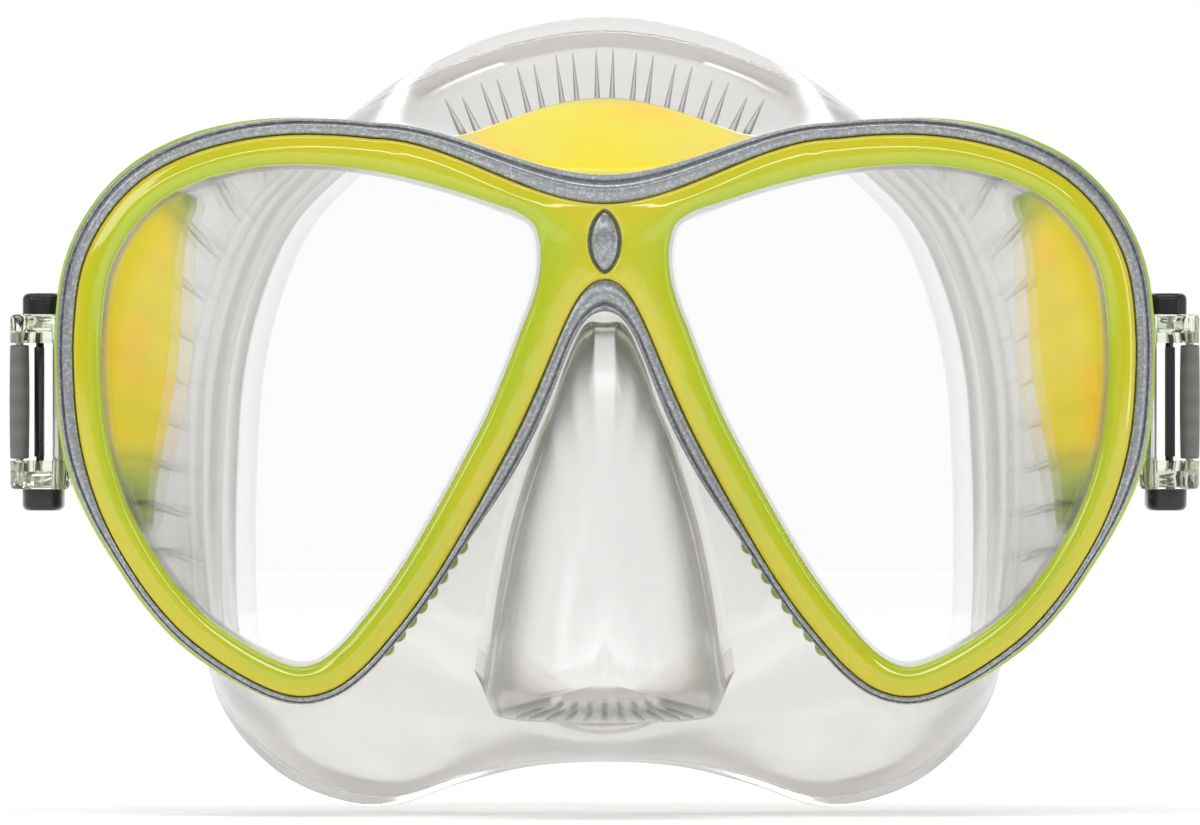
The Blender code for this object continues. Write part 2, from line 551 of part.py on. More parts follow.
def buckle(side, name):
    x, y = pivot_at(side)
    pivot = bpy.data.objects.new(f"swivel_{name}", None)
    bpy.context.scene.collection.objects.link(pivot)
    pivot.location = (x, y, 0)

    def at(across, back):
        return x + side * across, y + back

    piece(f"swivel_pin_{name}", rod(x, y, SWIVEL_PIN_RADIUS, -CHEEK_OUTER + GAP, CHEEK_OUTER - GAP),
          "stainless_steel", (x, y, 0))
    inner, outer = -KNUCKLE_RADIUS + GAP, BUCKLE_WIDTH - KNUCKLE_RADIUS + GAP
    body = piece(f"buckle_body_{name}", prism(buckle_plan(side), -CHEEK_OUTER, CHEEK_OUTER), "clear_polycarbonate",
                 (x, y, 0), pivot)
    wall_outer = inner + BASE_WALL
    low = at(wall_outer, -BUCKLE_LENGTH)
    high = at(outer + GAP, BUCKLE_LENGTH)
    shape(body, "DIFFERENCE", box((min(low[0], high[0]), low[1], -CHANNEL_HALF),
                                  (max(low[0], high[0]), high[1], CHANNEL_HALF)))
    shape(body, "DIFFERENCE", rod(x, y, KNUCKLE_RADIUS + 2 * GAP, -CHANNEL_HALF, CHANNEL_HALF, 24))
    low, high = at(inner - 2 * GAP, -BUCKLE_LENGTH), at(wall_outer + GAP, 0)
    shape(body, "DIFFERENCE", box((min(low[0], high[0]), low[1], -CHANNEL_HALF),
                                  (max(low[0], high[0]), high[1], CHANNEL_HALF)))
    shape(body, "DIFFERENCE", rod(x, y, SWIVEL_PIN_RADIUS + PIN_GAP, -CHEEK_OUTER - GAP, CHEEK_OUTER + GAP))

    axle_x, axle_y = at(outer - ROLLER_RADIUS + GAP / 2, 0)
    axle_half = CHANNEL_HALF + CHEEK_THICKNESS / 3
    shape(body, "DIFFERENCE", rod(axle_x, axle_y, AXLE_RADIUS + PIN_GAP, -axle_half - GAP, axle_half + GAP))
    piece(f"roller_axle_{name}", rod(axle_x, axle_y, AXLE_RADIUS, -axle_half, axle_half), "stainless_steel",
          (axle_x, axle_y, 0), pivot)
    roller = piece(f"strap_roller_{name}", rod(axle_x, axle_y, ROLLER_RADIUS, -STRAP_WIDTH / 2, STRAP_WIDTH / 2, 24),
                   "grey_acetal", (axle_x, axle_y, 0), pivot)
    shape(roller, "DIFFERENCE", rod(axle_x, axle_y, AXLE_RADIUS + PIN_GAP, -STRAP_WIDTH, STRAP_WIDTH))

    lock_inner = wall_outer + STRAP_SLOT
    lock_x, lock_y = at(lock_inner + LOCK_THICKNESS / 2, BUTTON_LENGTH - LOCK_THICKNESS)
    strap_lock(name, pivot, side, body, lock_x, lock_y)
    button_x, button_y = at((inner + outer) / 2 - GAP, BUTTON_BACK + BUTTON_LENGTH / 2)
    cam_x = lock_x + side * (LOCK_THICKNESS / 2 + CAM_RADIUS + 2 * GAP)
    for end, up in (("upper", 1), ("lower", -1)):
        button(f"{end}_{name}", pivot, body, up, button_x, button_y, cam_x, lock_y - LOCK_THICKNESS)


def strap_lock(name, pivot, side, body, x, y):
    """The toothed bar that grips the strap, with a trunnion at each end. It turns about its rear edge."""
    half = STRAP_WIDTH / 2 - GAP
    inner, outer = (x - side * LOCK_THICKNESS / 2, x + side * LOCK_THICKNESS / 2)
    teeth = 4
    pitch = (LOCK_LENGTH - LOCK_THICKNESS) / teeth
    tooth_depth = LOCK_THICKNESS / 3
    loop = [(outer, y - LOCK_LENGTH), (outer, y + LOCK_THICKNESS / 2), (inner, y + LOCK_THICKNESS / 2)]
    for k in range(teeth):
        loop.append((inner, y - k * pitch))
        loop.append((inner + side * tooth_depth, y - (k + 0.6) * pitch))
    loop.append((inner, y - LOCK_LENGTH))
    lock = piece(f"strap_lock_{name}", prism(loop, -half, half), "black_abs", (x, y, 0), pivot)
    trunnion = CHANNEL_HALF + CHEEK_THICKNESS / 3 - GAP
    shape(lock, "UNION", rod(x, y, LOCK_PIVOT_RADIUS, -trunnion, trunnion))
    shape(body, "DIFFERENCE", rod(x, y, LOCK_PIVOT_RADIUS + PIN_GAP, -trunnion - GAP, trunnion + GAP))


def button(name, pivot, body, up, x, y, cam_x, cam_y):
    """A push button in its pocket in the cheek, with a spring under it and a cam pin for the strap lock."""

    def levels(a, b):
        return min(up * a, up * b), max(up * a, up * b)

    def pad(grow, a, b):
        half_x, half_y, corner = BUTTON_WIDTH / 2 + grow, BUTTON_LENGTH / 2 + grow, 1.2 * MM
        loop = [(x + sx * (half_x - cx), y + sy * (half_y - cy)) for sx, sy, cx, cy in (
            (1, -1, corner, 0), (1, -1, 0, corner), (1, 1, 0, corner), (1, 1, corner, 0),
            (-1, 1, corner, 0), (-1, 1, 0, corner), (-1, -1, 0, corner), (-1, -1, corner, 0))]
        return prism(loop, *levels(a, b))

    shape(body, "DIFFERENCE", pad(SLIDE_GAP, POCKET_FLOOR, CHEEK_OUTER + GAP))
    shape(body, "DIFFERENCE", rod(cam_x, cam_y, CAM_RADIUS + PIN_GAP, *levels(CHANNEL_HALF - GAP, CHEEK_OUTER)))
    cap = piece(f"button_{name}", pad(0.0, BUTTON_BOTTOM, BUTTON_TOP), "black_abs", (x, y, up * BUTTON_BOTTOM), pivot)
    spring_y = y - BUTTON_LENGTH / 6
    bore_top = BUTTON_BOTTOM + SPRING_BORE_DEPTH
    shape(cap, "DIFFERENCE", rod(x, spring_y, SPRING_RADIUS + GAP, *levels(BUTTON_BOTTOM - GAP, bore_top)))
    dish = bmesh.new()
    bmesh.ops.create_uvsphere(dish, u_segments=20, v_segments=10, radius=1.0)
    size = Matrix.Diagonal((0.42 * BUTTON_WIDTH, 0.38 * BUTTON_LENGTH, BUTTON_PROUD / 3, 1))
    bmesh.ops.transform(dish, matrix=Matrix.Translation((x, y, up * BUTTON_TOP)) @ size, verts=dish.verts)
    shape(cap, "DIFFERENCE", dish)
    cam_end = CHANNEL_HALF + GAP
    shape(cap, "UNION", rod(cam_x, cam_y, CAM_RADIUS, *levels(cam_end, BUTTON_BOTTOM + GAP)))
    spring = levels(POCKET_FLOOR + GAP / 3, bore_top - GAP / 3)
    coil = piece(f"button_spring_{name}", rod(x, spring_y, SPRING_RADIUS, *spring), "stainless_steel",
                 (x, spring_y, up * POCKET_FLOOR), pivot)
    shape(coil, "DIFFERENCE", rod(x, spring_y, SPRING_RADIUS - SPRING_WALL, -BUTTON_TOP, BUTTON_TOP))


for old in list(bpy.data.objects):
    bpy.data.objects.remove(old)

SKIRT_FRONT_OUTLINE = skirt_front_outline()
SEAL_OUTLINE = seal_outline()
front_bezel()
main_frame()
lenses()
rear_subframe()
skirt()
inserts()
buckle(1, "right")
buckle(-1, "left")
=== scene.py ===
"""Snorkel mask: finished mouldings, skirt, buckles and a small studio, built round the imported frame.

Metres, +Z up. The wearer's face is at +Y and the lenses look along -Y. Front pieces are drawn on a flat
layout of (x, z) with their depth along Y, and then swept back a few degrees on each side.
"""

import itertools
import math

import bmesh
import bpy
import numpy as np
from mathutils import Matrix, Vector
from mathutils.geometry import delaunay_2d_cdt


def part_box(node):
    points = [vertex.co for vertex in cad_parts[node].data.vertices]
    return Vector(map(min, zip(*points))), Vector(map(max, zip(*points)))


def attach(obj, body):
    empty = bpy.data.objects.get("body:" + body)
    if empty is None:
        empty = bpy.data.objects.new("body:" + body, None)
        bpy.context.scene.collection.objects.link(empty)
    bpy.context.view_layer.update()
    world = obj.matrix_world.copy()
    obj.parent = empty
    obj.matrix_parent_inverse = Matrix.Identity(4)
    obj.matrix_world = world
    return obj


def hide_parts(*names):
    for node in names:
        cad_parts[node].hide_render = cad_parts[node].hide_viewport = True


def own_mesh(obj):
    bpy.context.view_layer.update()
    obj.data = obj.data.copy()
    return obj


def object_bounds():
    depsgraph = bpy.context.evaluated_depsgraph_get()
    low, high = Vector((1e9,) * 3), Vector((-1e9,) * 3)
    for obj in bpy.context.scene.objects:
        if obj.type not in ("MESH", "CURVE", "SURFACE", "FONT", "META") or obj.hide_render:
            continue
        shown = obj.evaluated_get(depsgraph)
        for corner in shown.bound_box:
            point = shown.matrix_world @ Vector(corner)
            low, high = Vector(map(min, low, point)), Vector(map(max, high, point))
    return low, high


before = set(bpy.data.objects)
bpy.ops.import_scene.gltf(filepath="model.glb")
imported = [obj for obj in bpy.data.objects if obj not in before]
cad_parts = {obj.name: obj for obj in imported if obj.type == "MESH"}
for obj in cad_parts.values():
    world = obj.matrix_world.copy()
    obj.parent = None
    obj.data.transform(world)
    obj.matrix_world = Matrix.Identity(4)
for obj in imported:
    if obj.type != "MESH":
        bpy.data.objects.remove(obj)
CAD_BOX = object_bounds()

bl_info = {
    "name": "Snorkel Mask",
    "version": (1, 0, 0),
    "blender": (4, 5, 0),
    "location": "View3D > Sidebar > Mask",
    "description": "Builds a twin-lens snorkel mask round its packed frame",
    "category": "Add Mesh",
}

MM = 0.001
SIDES = (("right", 1), ("left", -1))
SHARED = {}  # the materials made so far, by kind and colours
# Node kinds used often. On a colour mix, input 0 is the share, 6 and 7 the colours, and output 2 the result.
MATHS = "ShaderNodeMath"
RANGE = "ShaderNodeMapRange"
MIX = "ShaderNodeMix"
CIRCLE = "GeometryNodeCurvePrimitiveCircle"
TUBE = "GeometryNodeCurveToMesh"

# Soft lights: name, place, width and height in metres, power in watts.
STUDIO_LIGHTS = (
    ("overhead", (0.0, -0.3, 0.6), (0.8, 0.08), 1.3),
    ("key", (-0.6, -0.65, 0.35), (0.3, 0.3), 0.9),
    ("fill", (0.7, -0.6, 0.1), (0.12, 0.5), 0.6),
    ("strip", (0.0, -0.7, 0.26), (0.9, 0.04), 0.7),
    ("rear", (0.0, 0.7, 0.5), (0.7, 0.15), 1.2),
)
FLOOR_RADII = (2.5, 0.8, 0.2)
# The camera: focal length and sensor in mm, the width it sees at the bezel, and its place across and up.
FOCAL_LENGTH = 500
SENSOR_WIDTH = 36
VIEW_WIDTH = 0.178
VIEW_CENTRE = (-0.7 * MM, -1.6 * MM)
# Half of the sealing rim from the brow to the lip, in half widths and half heights of the rim.
SEAL_SHAPE = (
    (0.0, 1.0), (0.26, 0.955), (0.49, 0.85), (0.675, 0.70), (0.84, 0.53), (0.935, 0.32), (0.985, 0.10),
    (1.0, -0.13), (1.0, -0.36), (0.985, -0.60), (0.94, -0.76), (0.83, -0.90), (0.70, -0.975), (0.54, -1.0),
    (0.36, -0.94), (0.19, -0.895), (0.0, -0.88),
)
# Nose pocket's outline where it leaves the front wall: (height share from the bottom, half width share).
NOSE_SHAPE = (
    (1.0, 0.085), (0.91, 0.16), (0.80, 0.222), (0.70, 0.29), (0.50, 0.39), (0.30, 0.457), (0.10, 0.50),
    (0.03, 0.485), (0.0, 0.40),
)
# The painted rim's section, from its outer edge (0) to the bezel (1): share of the width, and depth in mm.
RIM_SECTION = (
    (0.0, 1.60), (0.02, 1.10), (0.06, 0.74), (0.11, 0.56), (0.16, 0.56), (0.21, 0.78), (0.245, 1.02),
    (0.28, 0.86), (0.34, 0.44), (0.43, 0.12), (0.55, 0.0), (0.68, 0.04), (0.80, 0.14), (0.92, 0.30),
    (1.0, 0.5),
)
EDGE_STEPS = (0.0, 0.06, 0.22, 0.48, 0.82, 1.0)  # shares of an edge's radius, close together at the rim


def linear(code):
    """An sRGB hex colour as linear red, green and blue."""
    shares = [int(code[i:i + 2], 16) / 255 for i in (0, 2, 4)]
    return tuple(c / 12.92 if c <= 0.04045 else ((c + 0.055) / 1.055) ** 2.4 for c in shares)


def length(name, default, description):
    return bpy.props.FloatProperty(name=name, default=default, description=description, unit="LENGTH",
                                   subtype="DISTANCE", precision=4)


def tint(name, code, description):
    return bpy.props.FloatVectorProperty(name=name, default=linear(code), description=description,
                                         subtype="COLOR", size=3, min=0.0, max=1.0)


class FrontSizes(bpy.types.PropertyGroup):
    lens_overlap: length("Lens overlap", 2.0 * MM, "How far the glass runs under the bezel")
    sweep: bpy.props.FloatProperty(name="Sweep", default=math.radians(6), subtype="ANGLE",
                                   description="How far each lens turns back from straight ahead")
    crease: length("Crease", 7.5 * MM, "Where the sweep starts, from the centre line")
    bezel_temple: length("Bezel at temple", 4.1 * MM, "Width of the yellow band at the temple")
    bezel_nose: length("Bezel at nose", 5.0 * MM, "Width of the yellow band beside the nose")
    bezel_brow: length("Bezel brow height", 29.3 * MM, "Upper edge of the bezel on the centre line")
    bezel_arch: length("Bezel arch height", 18.2 * MM, "Lower edge of the bezel on the centre line")
    bezel_edge: length("Bezel edge radius", 0.6 * MM, "Rounding along the bezel's edges")
    bezel_crest: length("Bezel crest", 0.55 * MM, "Height of the crest along the middle of the bezel")
    rim_upper: length("Upper rim", 2.5 * MM, "Width of the painted rim outside the bezel")
    rim_lower: length("Lower rim", 1.2 * MM, "Width of the painted rim below the lenses")
    brow_rim: length("Brow rim", 4.4 * MM, "Width of the painted rim in the middle of the brow")
    arch_rim: length("Arch rim", 4.8 * MM, "Width of the painted rim over the nose")
    subframe_lip: length("Rear frame lip", 0.7 * MM, "How far the lime frame shows past the painted one")
    tooth_pitch: length("Serration pitch", 2.6 * MM, "Spacing of the rear frame's serrations")
    tooth_radius: length("Serration radius", 1.3 * MM, "Radius of one serration")
    badge_height: length("Badge height", 9.6 * MM, "Height of the plain lozenge on the bridge")
    badge_width: length("Badge width", 5.0 * MM, "Width of the plain lozenge on the bridge")
    gap: length("Gap", 0.3 * MM, "Between fitted pieces")


class SkirtSizes(bpy.types.PropertyGroup):
    wall: length("Wall", 1.8 * MM, "Thickness of the silicone")
    start: length("Wall start", 4.7 * MM, "How far outside the windows the side walls start")
    cup: length("Cup wall", 2.6 * MM, "Silicone round each window, behind the glass")
    flange: length("Flange width", 4.0 * MM, "The flange clamped behind the glass")
    depth: length("Depth", 30.3 * MM, "From the front wall back to the brow's seal")
    wrap: length("Face wrap", 16.0 * MM, "How much further back the seal is at the temples")
    top: length("Seal top", 58.6 * MM, "Height of the sealing rim's top")
    bottom: length("Seal bottom", -61.6 * MM, "Height of the sealing rim's lowest point")
    half_width: length("Seal half width", 61.5 * MM, "Half the sealing rim's width")
    lip_width: length("Lip width", 6.0 * MM, "The sealing lip, in to the face opening")
    lip_edge: length("Lip edge", 0.7 * MM, "Thickness of the sealing lip's feathered edge")
    fold: length("Fold radius", 3.2 * MM, "Rounding where walls meet")
    nose_width: length("Nose width", 35.0 * MM, "Width of the nose pocket")
    nose_top: length("Nose top", 11.5 * MM, "Where the nose pocket leaves the bridge")
    nose_bottom: length("Nose bottom", -47.3 * MM, "Underside of the nose pocket")
    nose_reach: length("Nose reach", 29.5 * MM, "How far the nose pocket stands forward")
    rib_radius: length("Rib radius", 0.38 * MM, "Radius of the thin ribs on the walls")
    brow_rib_pitch: length("Brow rib pitch", 6.75 * MM, "Spacing of the pairs of ribs on the brow")
    pad_thickness: length("Pad thickness", 1.0 * MM, "Thickness of the yellow pads")


class BuckleSizes(bpy.types.PropertyGroup):
    channel: length("Channel half width", 8.8 * MM, "Half the width of the strap's channel")
    base_wall: length("Base wall", 2.0 * MM, "Wall between the strap and the mask")
    edge: length("Edge radius", 0.9 * MM, "Rounding of the clear body")
    button_dish: length("Button dish", 1.0 * MM, "Depth of the finger dish")
    coil_turns: bpy.props.FloatProperty(name="Coil turns", default=5.0,
                                        description="Turns of a button's spring")
    wire: length("Spring wire radius", 0.2 * MM, "Radius of the spring's wire")


class MaskColours(bpy.types.PropertyGroup):
    # The bezel's two colours are its yellow plastic with painted light: warm on the outer slope, lime on the
    # inner one.
    bezel_warm: tint("Bezel, warm", "D0C61C", "Yellow of the bezel's outer slope")
    bezel_lime: tint("Bezel, lime", "B4C524", "Lime yellow of the bezel's inner slope")
    silver: tint("Frame paint", "94979A", "Silver paint")
    lime: tint("Rear frame", "B0CA46", "Lime of the rear frame")
    silicone: tint("Silicone", "EFEDEB", "Clear silicone")
    pad_yellow: tint("Pad yellow", "F4E22C", "Yellow silicone")
    pad_orange: tint("Pad orange", "FFCE1E", "The deeper colour in the thick of the pad")
    pad_edge: tint("Pad edge", "CFE27A", "The pad's thin edge")
    buckle: tint("Buckle", "EFF4E4", "Clear polycarbonate")
    black: tint("Button", "1C1A1C", "Black ABS")
    graphite: tint("Roller", "6E6A6A", "Dark grey acetal")
    steel: tint("Steel", "C9C8C4", "Stainless steel")
    backdrop: tint("Backdrop", "FFFFFF", "Studio floor and backdrop")


# ---- outlines on the flat layout, as clockwise lists of (x, z) ----

def front_sizes():
    return bpy.context.scene.mask_front


def skirt_sizes():
    return bpy.context.scene.mask_skirt


def smooth_step(t):
    t = np.clip(t, 0.0, 1.0)
    return t * t * (3 - 2 * t)


def closed_spline(points, steps):
    """A closed Catmull-Rom curve through the points."""
    curve = []
    for i in range(len(points)):
        a, b, c, d = (np.array(points[(i + k - 1) % len(points)]) for k in range(4))
        for t in np.arange(steps) / steps:
            curve.append(b + 0.5 * t * (c - a + t * (2 * a - 5 * b + 4 * c - d + t * (3 * (b - c) + d - a))))
    return [tuple(p) for p in curve]


def bezier(handles, t):
    """A point of a Bezier curve with any number of handles."""
    points = [np.array(h, float) for h in handles]
    while len(points) > 1:
        points = [a + (b - a) * t for a, b in zip(points, points[1:])]
    return tuple(points[0])


def offset(loop, amount):
    """A clockwise loop moved outwards by a distance, or by a function of (x, z)."""
    moved = []
    for i, (x, z) in enumerate(loop):
        (x0, z0), (x1, z1) = loop[i - 1], loop[(i + 1) % len(loop)]
        span = math.hypot(x1 - x0, z1 - z0)
        by = amount(x, z) if callable(amount) else amount
        moved.append((x - by * (z1 - z0) / span, z + by * (x1 - x0) / span))
    return moved


def mirrored(loop):
    return [(-x, z) for x, z in reversed(loop)]


def whole(half):
    """A loop from its right half, whose first and last points lie on the centre line."""
    return half + mirrored(half[1:-1])


def lens_outline():
    """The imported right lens's edge, clockwise from the nose side."""
    corners = {(round(v.co.x, 6), round(v.co.z, 6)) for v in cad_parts["lens_right"].data.vertices}
    middle_x = sum(x for x, _ in corners) / len(corners)
    middle_z = sum(z for _, z in corners) / len(corners)
    return sorted(corners, key=lambda p: math.atan2(middle_z - p[1], p[0] - middle_x))


def window(grow=0.0):
    """The right lens's clear window, moved outwards by grow."""
    return offset(closed_spline(LENS_EDGE, 4), grow - front_sizes().lens_overlap)


def windows(grow=0.0):
    """The right window and the left one."""
    return [window(grow), mirrored(window(grow))]


def window_x(share):
    """A place across the window, from -1 at the nose to 1 at the temple."""
    low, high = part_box("lens_right")
    return (low.x + high.x) / 2 + share * ((high.x - low.x) / 2 - front_sizes().lens_overlap)


def flank_z():
    """The height where the nose arch springs from the frame."""
    low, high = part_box("lens_right")
    return (low.z + high.z) / 2 - 0.04 * (high.z - low.z)


def bezel_width(x, z):
    s = front_sizes()
    return s.bezel_nose + (s.bezel_temple - s.bezel_nose) * smooth_step(
        (x - window_x(-0.8)) / (window_x(0.8) - window_x(-0.8)))


def frame_width(x, z):
    s = front_sizes()
    share = smooth_step((flank_z() - z) / (18 * MM))
    return bezel_width(x, z) + s.rim_upper + (s.rim_lower - s.rim_upper) * share


def subframe_width(x, z):
    temple = smooth_step((x - window_x(-0.2)) / (26 * MM))
    return frame_width(x, z) + front_sizes().subframe_lip * temple


def around_lens(width, kept):
    """The right window moved outwards, clockwise from its hump at the brow, as far as its points are kept."""
    base, hump = window(), window_x(-0.22)
    pairs = list(zip(offset(base, width), base))
    start = next(i for i, p in enumerate(base) if p[0] >= hump and p[1] > 0)
    return [moved for moved, (x, z) in pairs[start:] + pairs[:start] if x >= hump or kept(x, z)]


def s_curve(tip, middle_z, steps):
    """From a height on the centre line to a point, level at both ends."""
    return [(tip[0] * t, middle_z + (tip[1] - middle_z) * smooth_step(t)) for t in steps]


def frame_outline(width, brow_z, arch_z):
    """A frame's edge: round both lenses, with an S-curve to the brow and an arch over the nose."""
    flank = flank_z()
    around = around_lens(width, lambda x, z: z < flank)
    brow = s_curve(around[0], brow_z, np.arange(0, 1, 0.05))
    (x0, z0), (x1, z1) = around[-2:]
    reach = 0.64 * (arch_z - z1) / math.hypot(x1 - x0, z1 - z0)
    handles = ((x1, z1), (x1 + reach * (x1 - x0), z1 + reach * (z1 - z0)),
               (front_sizes().crease * 0.7, arch_z), (0, arch_z))
    arch = [bezier(handles, t) for t in np.arange(0.0625, 1.01, 0.0625)]
    return whole(brow + around + arch)


def bezel_outline(grow=0.0):
    s = front_sizes()
    return frame_outline(lambda x, z: bezel_width(x, z) + grow, s.bezel_brow + grow, s.bezel_arch - grow)


def rim_outline(width=frame_width, grow=0.0):
    s = front_sizes()
    return frame_outline(lambda x, z: width(x, z) + grow, s.bezel_brow + s.brow_rim + grow,
                         s.bezel_arch - s.arch_rim - grow)


def badge(shrink=0.0):
    """A plain pointed oval in the middle of the bridge, clockwise from its top."""
    s = front_sizes()
    middle = (s.bezel_brow + s.bezel_arch) / 2
    angles = [math.radians(a) for a in range(0, 360, 9)]
    return [((s.badge_width / 2 - shrink) * math.sin(a) * abs(math.sin(a)) ** 0.3,
             middle + (s.badge_height / 2 - shrink) * math.cos(a)) for a in angles]


def seal_middle():
    return (skirt_sizes().top + skirt_sizes().bottom) / 2


def seal_outline():
    s = skirt_sizes()
    half = [(x * s.half_width, seal_middle() + z * (s.top - s.bottom) / 2) for x, z in SEAL_SHAPE]
    return closed_spline(whole(half), 6)


def skirt_front_outline():
    """Where the skirt's walls start, straight across under the nose."""
    s = skirt_sizes()
    tip = window_x(-0.15)
    around = around_lens(s.start, lambda x, z: z < 0 and x > tip)
    chin_z = s.nose_bottom - s.wall
    brow = s_curve(around[0], front_sizes().bezel_brow + front_sizes().gap, np.arange(0, 1, 0.06))
    chin = s_curve(around[-1], chin_z, np.arange(0.94, -0.01, -0.0626))
    chin[-1] = (0.0, chin_z)
    return whole(brow + around + chin)


def nose_outline(grow=0.0):
    s = skirt_sizes()
    height = s.nose_top - s.nose_bottom
    half = [(w * s.nose_width, s.nose_bottom + h * height) for h, w in NOSE_SHAPE]
    half = [(0.0, s.nose_top + 0.4 * MM)] + half + [(0.0, s.nose_bottom - 0.6 * MM)]
    return offset(closed_spline(whole(half), 5), grow)


def crossing(loop, angle):
    """Where the ray from the seal's middle at this angle crosses the loop."""
    ends = np.array(loop) - (0, seal_middle())
    nexts = np.roll(ends, -1, axis=0)
    step = nexts - ends
    dx, dz = math.sin(angle), math.cos(angle)
    across = dx * step[:, 1] - dz * step[:, 0]
    across[abs(across) < 1e-12] = 1e-12
    along = (ends[:, 0] * step[:, 1] - ends[:, 1] * step[:, 0]) / across
    share = (ends[:, 0] * dz - ends[:, 1] * dx) / across
    hit = along[(along > 0) & (share >= -1e-6) & (share <= 1 + 1e-6)]
    return dx * max(hit), seal_middle() + dz * max(hit)


def between(a, b, share):
    return [(p[0] + (q[0] - p[0]) * share, p[1] + (q[1] - p[1]) * share) for p, q in zip(a, b)]


# ---- measuring ----

def distance(points, loop):
    """The distance of each point from a closed loop."""
    start = np.array(loop)
    step = np.roll(start, -1, axis=0) - start
    found = np.full(len(points), np.inf)
    for a, d in zip(start, step):
        t = np.clip(((points - a) @ d) / max(d @ d, 1e-18), 0, 1)
        found = np.minimum(found, np.hypot(*(points - a - t[:, None] * d).T))
    return found


def inside(points, loop):
    """Which points lie in a closed loop."""
    x, z = points.T
    found = np.zeros(len(points), bool)
    for (x0, z0), (x1, z1) in zip(loop, loop[1:] + loop[:1]):
        if z0 == z1:
            continue
        crosses = ((z0 > z) != (z1 > z)) & (x < (x1 - x0) * (z - z0) / (z1 - z0) + x0)
        found ^= crosses
    return found


def rounded(depth, radius):
    """How far a rounded edge falls back, at a distance from its rim."""
    share = np.clip(1 - depth / radius, 0, 1)
    return radius * (1 - np.sqrt(1 - share ** 2))


# ---- meshes ----

def swept(points):
    """The flat layout turned back on each side of the crease. The turn fades out towards the face."""
    s = front_sizes()
    points = np.array(points, float)
    fade = np.clip(points[:, 1] / -(skirt_sizes().depth - skirt_sizes().wall), 0, 1)
    past = abs(points[:, 0]) - s.crease
    soft = 2 * MM
    past = (past + np.sqrt(past ** 2 + soft ** 2)) / 2
    points[:, 1] += math.tan(s.sweep) * past * fade
    return points


def laid(flat, y):
    """Flat points at one depth, or each at its own, swept back on each side."""
    flat = np.array(flat)
    return swept(np.column_stack((flat[:, 0], np.broadcast_to(y, len(flat)), flat[:, 1])))


def triangulated(outline, holes, lines=(), spacing=None):
    """Points and triangles over a flat outline with holes, through extra lines and an even grid of points."""
    points, edges = [], []
    for loop in (outline, *holes, *lines):
        first = len(points)
        points += loop
        edges += [(first + i, first + (i + 1) % len(loop)) for i in range(len(loop))]
    if spacing:
        low, high = np.array(outline).min(axis=0), np.array(outline).max(axis=0)
        rows = np.arange(low[1], high[1], spacing * 0.866)
        grid = np.array([(x + spacing / 2 * (k % 2), z) for k, z in enumerate(rows)
                         for x in np.arange(low[0] - (low[0] % spacing), high[0], spacing)])
        keep = inside(grid, outline)
        for loop in (outline, *holes, *lines):
            keep &= distance(grid, loop) > spacing * 0.45
        points += [tuple(p) for p in grid[keep]]
    made = delaunay_2d_cdt([Vector(p) for p in points], edges, [], 0, 1e-7)
    flat = np.array([tuple(p) for p in made[0]])
    faces = np.array([f for f in made[2] if len(f) == 3])
    middles = flat[faces].mean(axis=1)
    keep = inside(middles, outline)
    for hole in holes:
        keep &= ~inside(middles, hole)
    used, index = np.unique(faces[keep], return_inverse=True)
    return flat[used], index.reshape(-1, 3)


def add_surface(bm, points, faces):
    made = [bm.verts.new(p) for p in points]
    for face in faces:
        corners = [made[i] for i in face]
        if len(set(corners)) == len(corners):
            bm.faces.new(corners)
    return made


def add_loops(bm, loops, close_first=False, close_last=False):
    """Quads through loops of equal length, each a list of (x, y, z)."""
    rings = [[bm.verts.new(p) for p in loop] for loop in loops]
    for lower, upper in zip(rings, rings[1:]):
        for i in range(len(lower)):
            bm.faces.new((lower[i - 1], lower[i], upper[i], upper[i - 1]))
    if close_first:
        bm.faces.new(rings[0])
    if close_last:
        bm.faces.new(rings[-1])


def tidied(bm, merge=2e-6):
    bmesh.ops.remove_doubles(bm, verts=bm.verts, dist=merge)
    bmesh.ops.dissolve_degenerate(bm, edges=bm.edges, dist=1e-7)
    bmesh.ops.recalc_face_normals(bm, faces=bm.faces)
    return bm


def relief(outline, holes, lines, front, back, back_edge, spacing=None):
    """A plate whose front follows front(points) and whose back is flat, with a small chamfer behind."""
    flat, faces = triangulated(outline, holes, lines, spacing)
    bm = bmesh.new()
    for y in (front(flat), back):
        add_surface(bm, laid(flat, y), faces)
    for loop, outward in ((outline, 1), *((hole, -1) for hole in holes)):
        rim = np.array(loop)
        fronts = front(rim)
        inset = np.array(offset(loop, -outward * back_edge))
        rows = [(rim, fronts), (rim, fronts * 0.5 + back * 0.5), (rim, back - back_edge),
                (between(loop, inset, 0.3), back - back_edge * 0.3), (rim, back)]
        add_loops(bm, [[tuple(p) for p in laid(row, y)] for row, y in rows])
    return tidied(bm)


def store(mesh, name, values):
    """A number for each vertex, which the materials read."""
    attribute = mesh.attributes.new(name, "FLOAT", "POINT")
    attribute.data.foreach_set("value", np.asarray(values, np.float32))


def mesh_points(mesh):
    points = np.empty(len(mesh.vertices) * 3, np.float32)
    mesh.vertices.foreach_get("co", points)
    return points.reshape(-1, 3).astype(float)


def smoothed(mesh, angle=40):
    """Smooth shading, with the creases past this angle kept sharp."""
    mesh.shade_smooth()
    mesh.set_sharp_from_angle(angle=math.radians(angle))


def new_piece(name, bm, material, smooth=40):
    """A piece at the origin, with its place in its mesh."""
    mesh = bpy.data.meshes.new(name)
    bm.to_mesh(mesh)
    bm.free()
    smoothed(mesh, smooth)
    mesh.materials.append(material)
    obj = bpy.data.objects.new(name, mesh)
    bpy.context.scene.collection.objects.link(obj)
    return obj


def settle(obj, body, slot, *nodes):
    """Makes the piece ride on its body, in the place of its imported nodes."""
    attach(obj, body)
    if nodes:
        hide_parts(*nodes)


